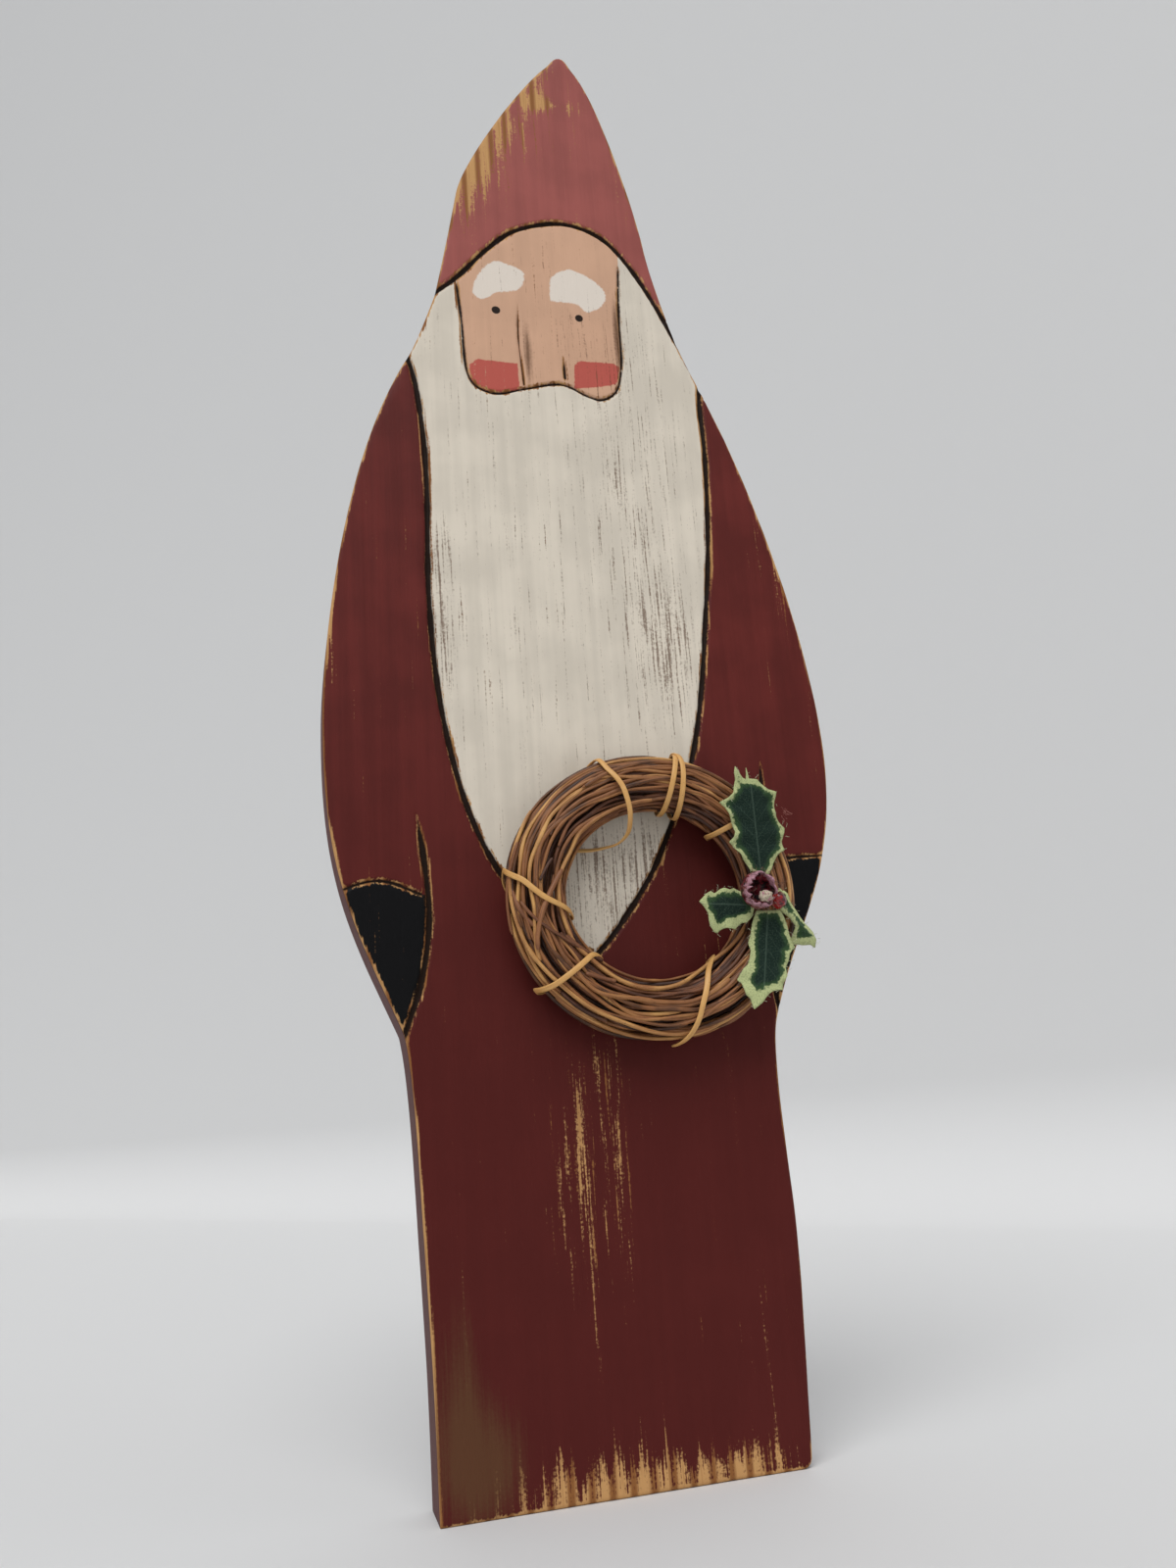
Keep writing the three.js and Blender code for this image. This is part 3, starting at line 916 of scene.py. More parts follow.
def wound_vines() -> bpy.types.NodeTree:
    """Build the tree that winds vines round the bundle of a wreath. Its lengths are millimetres."""
    g = ShapeGraph("wound_vines", {
        "Count": "NodeSocketInt", "Steps": "NodeSocketInt", "Seed": "NodeSocketInt",
        "Centre X": "NodeSocketFloat", "Centre Y": "NodeSocketFloat", "Centre Z": "NodeSocketFloat",
        "Mid X": "NodeSocketFloat", "Mid Z": "NodeSocketFloat",
        "Half Wide": "NodeSocketFloat", "Half Deep": "NodeSocketFloat",
        "Layer": "NodeSocketFloat", "Layer Spread": "NodeSocketFloat",
        "Start": "NodeSocketFloat", "Start Spread": "NodeSocketFloat",
        "Phase": "NodeSocketFloat", "Phase Spread": "NodeSocketFloat",
        "Turns": "NodeSocketFloat", "Turns Spread": "NodeSocketFloat",
        "Winding": "NodeSocketFloat", "Wander": "NodeSocketFloat",
        "Thick": "NodeSocketFloat", "Thick Spread": "NodeSocketFloat",
        "Material": "NodeSocketMaterial",
    })
    line = g.add("GeometryNodeCurvePrimitiveLine", {"End": (1.0, 0.0, 0.0)})
    fine = g.add("GeometryNodeResampleCurve", {"Curve": line.outputs[0], "Count": g.given("Steps")})
    copies = g.add(
        "GeometryNodeDuplicateElements", {"Geometry": fine.outputs[0], "Amount": g.given("Count")}, domain="SPLINE")
    index = Value(g, copies.outputs["Duplicate Index"])
    share = Value(g, g.add("GeometryNodeSplineParameter").outputs["Factor"])

    def chance(salt: int) -> Value:
        """Return a number from -1 to 1 for each vine."""
        feeds = {2: -1.0, 3: 1.0, "ID": index, "Seed": g.given("Seed") + float(salt)}
        return Value(g, g.add("FunctionNodeRandomValue", feeds).outputs[1])

    swept = (g.given("Turns") + chance(1) * g.given("Turns Spread")) * share * math.tau
    turn = (g.given("Start") + chance(2) * g.given("Start Spread")) * (math.pi / 180) + swept
    seeded = index * 7.31 + g.given("Seed") * 3.17
    drift = g.noise(g.vector(swept * 0.62, seeded, 0.0), 1.0, 2) - 0.5
    sway = g.noise(g.vector(swept * 0.9, seeded, 9.0), 1.0, 2) - 0.5
    around = (
        g.given("Phase") * (math.pi / 180) + (index / g.given("Count")) * math.tau * g.given("Phase Spread")
        + chance(3) * 0.25 + swept * chance(4) * g.given("Winding") + drift * g.given("Wander")
    )
    layer = g.given("Layer") + chance(5) * g.given("Layer Spread") + sway * 0.22
    out = g.given("Half Wide") * layer * g.math("COSINE", around)
    forward = g.given("Half Deep") * layer * g.math("SINE", around)
    x = g.given("Centre X") + (g.given("Mid X") + out) * g.math("COSINE", turn)
    z = g.given("Centre Z") + (g.given("Mid Z") + out) * g.math("SINE", turn)
    y = g.given("Centre Y") - forward
    place = g.stretched(g.vector(x, y, z), (MM, MM, MM))
    wound = g.add("GeometryNodeSetPosition", {"Geometry": copies.outputs["Geometry"], "Position": place})

    knots = g.smooth(g.noise(g.vector(swept * 3.1, seeded, 4.0), 1.0, 0), 0.66, 0.74)
    ends = g.smooth(share, 0.0, 0.02) * g.smooth(share, 1.0, 0.985) * 0.35 + 0.65
    uneven = g.noise(g.vector(swept * 1.4, seeded, 2.0), 1.0, 1) * 0.5 + 0.75
    thick = (g.given("Thick") + chance(6) * g.given("Thick Spread")) * ends * uneven * (knots * 0.22 + 1)
    sized = g.add("GeometryNodeSetCurveRadius", {"Curve": wound.outputs[0], "Radius": thick * MM})

    def kept(shape: bpy.types.NodeSocket, name: str, value: Feed, kind: str = "FLOAT") -> bpy.types.NodeSocket:
        """Store a number at the points under a name."""
        feeds = {"Geometry": shape, "Name": name, "Value": value}
        return g.add("GeometryNodeStoreNamedAttribute", feeds, data_type=kind, domain="POINT").outputs[0]

    shape = kept(sized.outputs[0], "along", swept * g.given("Mid X"))
    shape = kept(shape, "tone", chance(7) * 0.5 + 0.5)
    # Painted shade: store how far a vine lies behind the bundle's middle and inside it, so that it is darkened there.
    behind = g.math("MAXIMUM", g.math("SINE", around) * layer * -1.0, 0.0)
    shape = kept(shape, "deep", behind * 0.4 + (1.0 - layer) * 1.1)
    ring = g.add("GeometryNodeCurvePrimitiveCircle", {"Resolution": 8, "Radius": 1.0})
    profile = kept(ring.outputs[0], "skin", g.add("GeometryNodeInputPosition").outputs[0], "FLOAT_VECTOR")
    radius = Value(g, g.add("GeometryNodeInputRadius").outputs[0])
    tube = g.add(
        "GeometryNodeCurveToMesh", {"Curve": shape, "Profile Curve": profile, "Scale": radius, "Fill Caps": True})
    soft = g.add("GeometryNodeSetShadeSmooth", {"Geometry": tube.outputs[0]})
    return g.close(soft.outputs[0])


@dataclass(frozen=True)
class Binding:
    """A flat peeled vine bound round the bundle.

    Each stop gives a place round the bundle's section, in degrees from its outer edge by way
    of the front, the bearing on the wreath, and how far the vine stands off the bundle.
    """

    node: str
    stops: tuple
    wide: float = 1.9
    thick: float = 0.75


@dataclass
class Wreath:
    """A ring of wound vines with six bindings."""

    centre: Pair = (19.2, 182.0)
    mid_x: float = 41.0
    mid_z: float = 39.2
    half_wide: float = 10.4
    half_deep: float = 8.0
    mid_depth: float = -10.1
    bindings: tuple = (
        Binding("tie_top", ((0, 77, 0.3), (90, 79, 0.4), (180, 81, 0.3), (270, 79, 0.3))),
        Binding("tie_top", ((0, 77.5, 1.0), (90, 74, 0.5), (180, 70, 0.3), (270, 74, 0.3))),
        Binding("tie_upper_left", (
            (0, 109, 0.2), (60, 109, 0.2), (100, 106, 1.4), (135, 107, 5.0), (160, 111, 7.5), (185, 121, 8.0),
            (205, 137, 5.5), (225, 146, 1.2), (270, 130, 0.4), (315, 114, 0.2))),
        Binding("tie_left", ((0, 169, 0.4), (60, 174, 0.5), (100, 183, 0.5), (180, 195, 0.3), (270, 183, 0.3))),
        Binding("tie_lower_left", (
            (0, 216, 1.4), (50, 219, 1.0), (90, 220, 0.7), (140, 221, 0.5), (180, 228, 0.3), (270, 222, 0.3))),
        Binding("tie_bottom", (
            (0, 272, 0.4), (50, 279, 0.5), (90, 285, 0.6), (140, 297, 0.5), (180, 311, 0.3), (270, 292, 0.3))),
        Binding("tie_upper_right", ((0, 36, 0.3), (90, 38, 0.4), (180, 45, 0.3), (270, 40, 0.3))),
    )

    def at(self, turn: float, around: float, proud: float = 0.0) -> np.ndarray:
        """Return a place on the bundle, as across, back and up."""
        out = (self.half_wide + proud) * math.cos(around)
        forward = (self.half_deep + proud) * math.sin(around)
        return np.array([
            self.centre[0] + (self.mid_x + out) * math.cos(turn),
            self.mid_depth - forward,
            self.centre[1] + (self.mid_z + out) * math.sin(turn),
        ])

    def vines(self, start: np.ndarray, bark: bpy.types.Material, brown: bpy.types.Material) -> bpy.types.Object:
        """Wind every layer of vines and join them into one piece."""
        tree = wound_vines()
        common = {
            "Centre_X": self.centre[0] + start[0], "Centre_Y": self.mid_depth + start[1],
            "Centre_Z": self.centre[1] + start[2], "Mid_X": self.mid_x, "Mid_Z": self.mid_z,
            "Half_Wide": self.half_wide, "Half_Deep": self.half_deep, "Start": 0.0, "Start_Spread": 180.0,
            "Phase": 0.0, "Phase_Spread": 1.0,
        }
        layers = [
            dict(Count=16, Steps=90, Seed=3, Layer=0.38, Layer_Spread=0.16, Turns=1.0, Turns_Spread=0.1,
                 Winding=0.3, Wander=1.6, Thick=1.1, Thick_Spread=0.2, Material=brown),
            dict(Count=18, Steps=100, Seed=7, Phase=180.0, Phase_Spread=0.5, Layer=0.82, Layer_Spread=0.06,
                 Turns=1.0, Turns_Spread=0.3, Winding=0.1, Wander=2.0, Thick=0.85, Thick_Spread=0.2,
                 Material=brown),
            dict(Count=18, Steps=120, Seed=11, Phase=85.0, Phase_Spread=0.32, Layer=0.76, Layer_Spread=0.1,
                 Turns=0.9, Turns_Spread=0.35, Winding=0.1, Wander=2.6, Thick=0.72, Thick_Spread=0.2,
                 Material=brown),
            dict(Count=20, Steps=120, Seed=23, Phase=-25.0, Phase_Spread=0.34, Layer=0.84, Layer_Spread=0.08,
                 Turns=0.9, Turns_Spread=0.35, Winding=0.1, Wander=2.4, Thick=0.74, Thick_Spread=0.2,
                 Material=bark),
            dict(Count=14, Steps=90, Seed=31, Phase=10.0, Phase_Spread=0.5, Layer=0.93, Layer_Spread=0.05,
                 Turns=0.5, Turns_Spread=0.3, Winding=0.35, Wander=2.6, Thick=0.66, Thick_Spread=0.18,
                 Material=bark),
            dict(Count=9, Steps=24, Seed=41, Start=195.0, Start_Spread=40.0, Phase=20.0, Phase_Spread=0.4,
                 Layer=0.97, Layer_Spread=0.06, Turns=0.07, Turns_Spread=0.04, Winding=2.5, Wander=2.0,
                 Thick=0.7, Thick_Spread=0.2, Material=brown),
        ]
        parts = [grown(tree, f"vines_{i}", **(common | layer)) for i, layer in enumerate(layers)]
        return joined("vine_wreath", parts)

    def binding(
        self, node: str, bands: Sequence[Binding], start: np.ndarray, peeled: bpy.types.Material
    ) -> bpy.types.Object:
        """Make one tie, of one or more bands."""
        skin = Skin()
        for band in bands:
            stops = np.array(band.stops, float)
            ring = np.concatenate([stops - (360, 0, 0), stops, stops + (360, 0, 0)])
            around = np.arange(0, 360, 5.0)
            bearing = soft_between(around, ring[:, 0], ring[:, 1])
            proud = soft_between(around, ring[:, 0], ring[:, 2])
            path, facing = [], []
            for a, b, p in zip(np.radians(around), np.radians(bearing), proud):
                path.append(self.at(b, a, p))
                facing.append(self.at(b, a, p + 1) - self.at(b, a, p))
            lay_band(skin, np.array(path) + start, np.array(facing), band.wide, band.thick)
        return skin.piece(node.replace("tie", "band"), peeled)

    def build(self, start: np.ndarray) -> list[bpy.types.Object]:
        """Make the vines and the bindings."""
        bark = VineBark().material()
        peeled = VineBark(
            "peeled_vine", paint_mix(232, 188, 118), paint_mix(204, 152, 88), paint_mix(140, 92, 50), 0.42).material()
        brown = VineBark("brown_vine", paint_mix(176, 120, 74), paint_mix(122, 76, 48), paint_mix(60, 34, 24), 0.5)
        vines = self.vines(start, bark, brown.material())
        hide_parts("wreath_ring")
        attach(vines, "root")
        made = [vines]
        for node in dict.fromkeys(b.node for b in self.bindings):
            band = self.binding(node, [b for b in self.bindings if b.node == node], start, peeled)
            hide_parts(node)
            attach(band, "root")
            made.append(band)
        return made


def soft_between(at: np.ndarray, stops: np.ndarray, values: np.ndarray) -> np.ndarray:
    """Return values between stops, eased so that there is no corner at a stop."""
    fine = np.arange(stops[0], stops[-1], 1.0)
    raw = np.interp(fine, stops, values)
    kernel = np.hanning(31)
    raw = np.convolve(np.pad(raw, 15, mode="edge"), kernel / kernel.sum(), mode="valid")
    return np.interp(at, fine, raw)


def lay_band(skin: Skin, path: np.ndarray, facing: np.ndarray, wide: float, thick: float) -> None:
    """Add a closed flat band to a skin.

    Args:
        skin: What it is added to.
        path: The band's middle line, which closes on itself.
        facing: Which way its flat side faces at each point.
        wide: Its width.
        thick: Its thickness.
    """
    step = np.roll(path, -1, axis=0) - np.roll(path, 1, axis=0)
    step /= np.linalg.norm(step, axis=1)[:, None]
    facing = facing - (facing * step).sum(1)[:, None] * step
    facing /= np.linalg.norm(facing, axis=1)[:, None]
    side = np.cross(step, facing)
    angles = np.linspace(0, math.tau, 10, endpoint=False)
    flat = np.sign(np.cos(angles)) * np.abs(np.cos(angles)) ** 0.6 * wide / 2
    high = np.sign(np.sin(angles)) * np.abs(np.sin(angles)) ** 0.8 * thick / 2
    run = np.concatenate([[0], np.cumsum(np.linalg.norm(np.diff(path, axis=0), axis=1))])
    section = np.stack([np.cos(angles), np.sin(angles), 0 * angles], axis=1)
    rows = []
    for i in range(len(path)):
        ring = path[i] + flat[:, None] * side[i] + (high + thick / 2)[:, None] * facing[i]
        # The bands get no painted shade: their deep is zero.
        start = skin.lay(
            ring, along=np.full(10, run[i]), tone=np.full(10, 0.7), deep=np.zeros(10), skin=section)
        rows.append(np.arange(start, start + 10))
    for row, after in zip(rows, rows[1:] + rows[:1]):
        skin.bridge(row[::-1], after[::-1])


def joined(name: str, parts: Sequence[bpy.types.Object]) -> bpy.types.Object:
    """Join pieces into the first of them and name it."""
    with bpy.context.temp_override(active_object=parts[0], selected_editable_objects=list(parts)):
        bpy.ops.object.join()
    parts[0].name = parts[0].data.name = name
    return parts[0]


# The holly sprig


@dataclass(frozen=True)
class PrintedCloth:
    """Stiff woven cloth, printed dark green with a ragged pale margin."""

    dark: Colour = paint_mix(24, 40, 33)
    green: Colour = paint_mix(52, 76, 46)
    margin: Colour = paint_mix(184, 192, 138)
    thread: Colour = paint_mix(104, 124, 108)

    def material(self) -> bpy.types.Material:
        """Build the finish from what a leaf's mesh stores."""
        g = FinishGraph("printed_leaf_cloth")
        place = g.millimetres()
        run, side, rim = g.stored("run"), g.stored("side"), g.stored("rim")
        cloud = g.noise(place, 0.28, 2)
        rag = g.noise(place, 0.9, 2)
        weave_place = g.vector(run * 2.1, side * 2.1, 0.0)
        weave = g.noise(weave_place, 1.0, 1)
        threads = g.math("SINE", run * 13.0) * 0.25 + g.math("SINE", side * 13.0) * 0.25 + 0.5
        width = g.stored("pale") + cloud * 2.6 - 0.2 + (rag - 0.5) * 2.4
        inside = g.smooth(rim - width, -0.35, 0.35)
        deep = g.smooth(rim - width + (rag - 0.5) * 3.0, 0.2, 2.4)
        centre = g.mixed(deep, self.green, self.dark)
        centre = g.mixed(g.smooth(weave * 0.7 + threads * 0.3, 0.52, 0.72) * 0.25, centre, self.thread)
        rib = g.smooth(g.math("ABSOLUTE", side), 0.45, 0.1)
        slant = g.math("FRACT", (run - g.math("ABSOLUTE", side) * 1.1) / 5.2)
        vein = g.smooth(g.math("ABSOLUTE", slant - 0.5), 0.05, 0.0)
        lines = g.math("MAXIMUM", rib, vein * 0.6)
        centre = g.mixed(lines * 0.22, centre, self.thread)
        pale = g.mixed(g.smooth(weave, 0.45, 0.7) * 0.35, self.margin, self.green)
        g.bump(threads * 0.5 + weave * 0.3 + lines * 0.5, 0.25, 0.6)
        return g.finish(
            Base_Color=g.mixed(inside, pale, centre), Roughness=0.85, Specular_IOR_Level=0.12)


@dataclass(frozen=True)
class PlainFibre:
    """Loose thread or fluff of one colour, lighter and darker along it."""

    name: str
    light: Colour
    dark: Colour

    def material(self) -> bpy.types.Material:
        """Build the finish."""
        g = FinishGraph(self.name)
        cloud = g.noise(g.millimetres(), 0.8, 2)
        mix = g.mixed(g.smooth(cloud, 0.35, 0.65), self.dark, self.light)
        return g.finish(Base_Color=mix, Roughness=0.9, Specular_IOR_Level=0.1)


@dataclass(frozen=True)
class BrokenSkin:
    """The berry's skin: crimson and near black inside, torn pale and fuzzy at its rim."""

    inside: Colour = paint_mix(120, 24, 36)
    dark: Colour = paint_mix(28, 12, 14)
    torn: Colour = paint_mix(176, 128, 140)

    def material(self) -> bpy.types.Material:
        """Build the finish from what the berry's mesh stores."""
        g = FinishGraph("broken_berry_skin")
        place = g.millimetres()
        blotch = g.noise(place, 0.55, 3, 0.6)
        speck = g.noise(place, 1.9, 2)
        colour = g.mixed(g.smooth(blotch, 0.44, 0.56), self.dark, self.inside)
        torn = g.smooth(g.stored("torn") + (speck - 0.5) * 0.9 + (blotch - 0.5) * 0.6, 0.35, 0.6)
        colour = g.mixed(torn, colour, self.torn)
        colour = g.mixed(g.smooth(speck, 0.62, 0.72) * 0.5, colour, self.torn)
        g.bump(blotch * 0.6 + speck * 0.4, 0.7, 0.9)
        return g.finish(Base_Color=colour, Roughness=0.45, Specular_IOR_Level=0.5)


@dataclass(frozen=True)
class GlossyRed:
    """The whole berry: glossy deep red."""

    skin: Colour = paint_mix(150, 16, 24)
    dark: Colour = paint_mix(70, 8, 14)

    def material(self) -> bpy.types.Material:
        """Build the finish."""
        g = FinishGraph("glossy_red_berry")
        cloud = g.noise(g.millimetres(), 0.5, 2)
        g.bump(cloud, 0.3, 0.4)
        return g.finish(
            Base_Color=g.mixed(g.smooth(cloud, 0.4, 0.6), self.dark, self.skin), Roughness=0.14,
            Specular_IOR_Level=0.6)


@dataclass(frozen=True)
class CrumbFoam:
    """The pale crumbled core, with pink and olive stains."""

    pale: Colour = paint_mix(206, 192, 170)
    pink: Colour = paint_mix(196, 130, 146)
    olive: Colour = paint_mix(124, 122, 86)

    def material(self) -> bpy.types.Material:
        """Build the finish."""
        g = FinishGraph("crumbled_core")
        place = g.millimetres()
        mix = g.mixed(g.smooth(g.noise(place, 0.8, 2), 0.5, 0.6), self.pale, self.pink)
        mix = g.mixed(g.smooth(g.noise(place, 1.3, 2), 0.58, 0.68), mix, self.olive)
        g.bump(g.noise(place, 2.2, 3, 0.7), 0.5, 1.0)
        return g.finish(Base_Color=mix, Roughness=0.9, Specular_IOR_Level=0.2)


def stray_threads() -> bpy.types.NodeTree:
    """Build the tree that lets thin bent threads stand out from an edge. Its lengths are metres."""
    g = ShapeGraph("stray_threads", {
        "Count": "NodeSocketInt", "Seed": "NodeSocketInt", "Length": "NodeSocketFloat",
        "Thick": "NodeSocketFloat", "Spread": "NodeSocketFloat", "Lean": "NodeSocketVector",
        "Material": "NodeSocketMaterial",
    })
    edge = g.add("GeometryNodeMeshToCurve", {"Mesh": g.source.outputs["Geometry"]})
    roots = g.add("GeometryNodeResampleCurve", {"Curve": edge.outputs[0], "Count": g.given("Count")})

    def chance(salt: int, low: float, high: float, kind: int = 1) -> bpy.types.NodeSocket:
        """Return a random number, or a random vector where kind is 0."""
        seed = g.given("Seed") + float(salt)
        if kind == 0:
            feeds = {0: (low,) * 3, 1: (high,) * 3, "Seed": seed}
            return g.add("FunctionNodeRandomValue", feeds, data_type="FLOAT_VECTOR").outputs[0]
        return g.add("FunctionNodeRandomValue", {2: low, 3: high, "Seed": seed}).outputs[1]

    shift = g.stretched(chance(1, -1.0, 1.0, 0), (0.0008, 0.0008, 0.0008))
    moved = g.add("GeometryNodeSetPosition", {"Geometry": roots.outputs[0], "Offset": shift})
    bent = g.add(
        "GeometryNodeCurvePrimitiveBezierSegment",
        {"Resolution": 6, "Start": (0, 0, 0), "Start Handle": (0.1, 0.1, 0.35), "End Handle": (0.35, -0.15, 0.75),
         "End": (0.25, 0.1, 1.0)})
    scatter = g.stretched(chance(2, -1.0, 1.0, 0), (1.0, 1.0, 1.0))
    spread = g.add("ShaderNodeVectorMath", {0: scatter, 3: g.given("Spread")}, operation="SCALE").outputs[0]
    aim = g.add("ShaderNodeVectorMath", {0: spread, 1: g.given("Lean")}, operation="ADD").outputs[0]
    turn = g.add("FunctionNodeAlignRotationToVector", {"Vector": aim}, axis="Z")
    size = g.given("Length") * Value(g, chance(3, 0.35, 1.0))
    threads = g.add("GeometryNodeInstanceOnPoints", {
        "Points": moved.outputs[0], "Instance": bent.outputs[0], "Rotation": turn.outputs[0],
        "Scale": g.vector(size, size, size)})
    real = g.add("GeometryNodeRealizeInstances", {"Geometry": threads.outputs[0]})
    ring = g.add("GeometryNodeCurvePrimitiveCircle", {"Resolution": 4, "Radius": g.given("Thick")})
    tube = g.add("GeometryNodeCurveToMesh", {
        "Curve": real.outputs[0], "Profile Curve": ring.outputs[0], "Scale": 1.0, "Fill Caps": True})
    return g.close(tube.outputs[0])


@dataclass(frozen=True)
class Leaf:
    """A die-cut cloth leaf, laid on the wreath.

    The outline is in board millimetres. The rib runs from the stalk end to the tip. Forward
    places are measured from the front of the wreath.
    """

    node: str
    outline: tuple
    rib: tuple[Pair, Pair]
    base_forward: float
    tip_forward: float
    keel: float
    curl: float
    pale: tuple = ()
    thick: float = 0.4
    held: str = "laid"

    def frame(self, points: np.ndarray) -> tuple[np.ndarray, np.ndarray, float]:
        """Return how far along the rib and how far beside it points are, and the rib's length."""
        base, tip = (np.array(p, float) for p in self.rib)
        way = (tip - base) / np.linalg.norm(tip - base)
        off = points - base
        return off @ way, off @ np.array([-way[1], way[0]]), float(np.linalg.norm(tip - base))

    def cut_size(self) -> tuple[Pair, float]:
        """Return the flat leaf's width and length, and its area, in metres."""
        ring = np.array(self.outline, float)
        run, side, _ = self.frame(ring)
        return (float(np.ptp(side)) * MM, float(np.ptp(run)) * MM), abs(polygon_area(ring)) * MM**2

    def forward(self, points: np.ndarray) -> np.ndarray:
        """Return how far forward of the wreath the cloth's middle is."""
        run, side, length = self.frame(points)
        share = run / length
        rise = self.base_forward + (self.tip_forward - self.base_forward) * share
        wave = 0.35 * np.sin(run * 0.9 + 0.8) * np.clip(np.abs(side) / 5, 0, 1.5)
        return rise + self.keel * np.abs(side) + self.curl * side * np.abs(side) + wave

    def build(self, depth: float, start: np.ndarray, cloth: bpy.types.Material) -> bpy.types.Object:
        """Make the leaf.

        Args:
            depth: How far behind the painted face the front of the wreath is, a negative number.
            start: The board's place in the part's own frame.
            cloth: The finish.

        Returns:
            The leaf, a closed thin sheet.
        """
        ring = evenly(np.array(self.outline + self.outline[:1], float), 0.5)[:-1]
        if polygon_area(ring) > 0:
            ring = ring[::-1]
        grid = staggered(ring.min(0), ring.max(0), 0.8)
        grid = grid[depth_inside(grid, ring) > 0.35]
        points = np.concatenate([ring, grid])
        triangles = triangulated(points, [np.append(np.arange(len(ring)), 0)], ring)
        run, side, _ = self.frame(points)
        rim = np.clip(depth_inside(points, ring), 0, None)
        rim[: len(ring)] = 0
        marks = {"run": run, "side": side, "rim": rim, "pale": patched(self.pale, points)}
        forward = self.forward(points)
        skin = Skin()
        for face in (1, -1):
            back = depth - forward - face * self.thick / 2
            skin.lay(np.stack([points[:, 0], back, points[:, 1]], axis=1) + start, **marks)
        skin.faces += [tuple(t) for t in triangles.tolist()]
        skin.faces += [tuple(t) for t in (triangles[:, ::-1] + len(points)).tolist()]
        skin.bridge(np.arange(len(ring)), np.arange(len(ring)) + len(points))
        return skin.piece(self.node.replace("holly_leaf", "cloth_leaf"), cloth)


def polygon_area(ring: np.ndarray) -> float:
    """Return the area inside a ring, negative where it runs clockwise."""
    after = np.roll(ring, -1, axis=0)
    return float((ring[:, 0] * after[:, 1] - after[:, 0] * ring[:, 1]).sum() / 2)


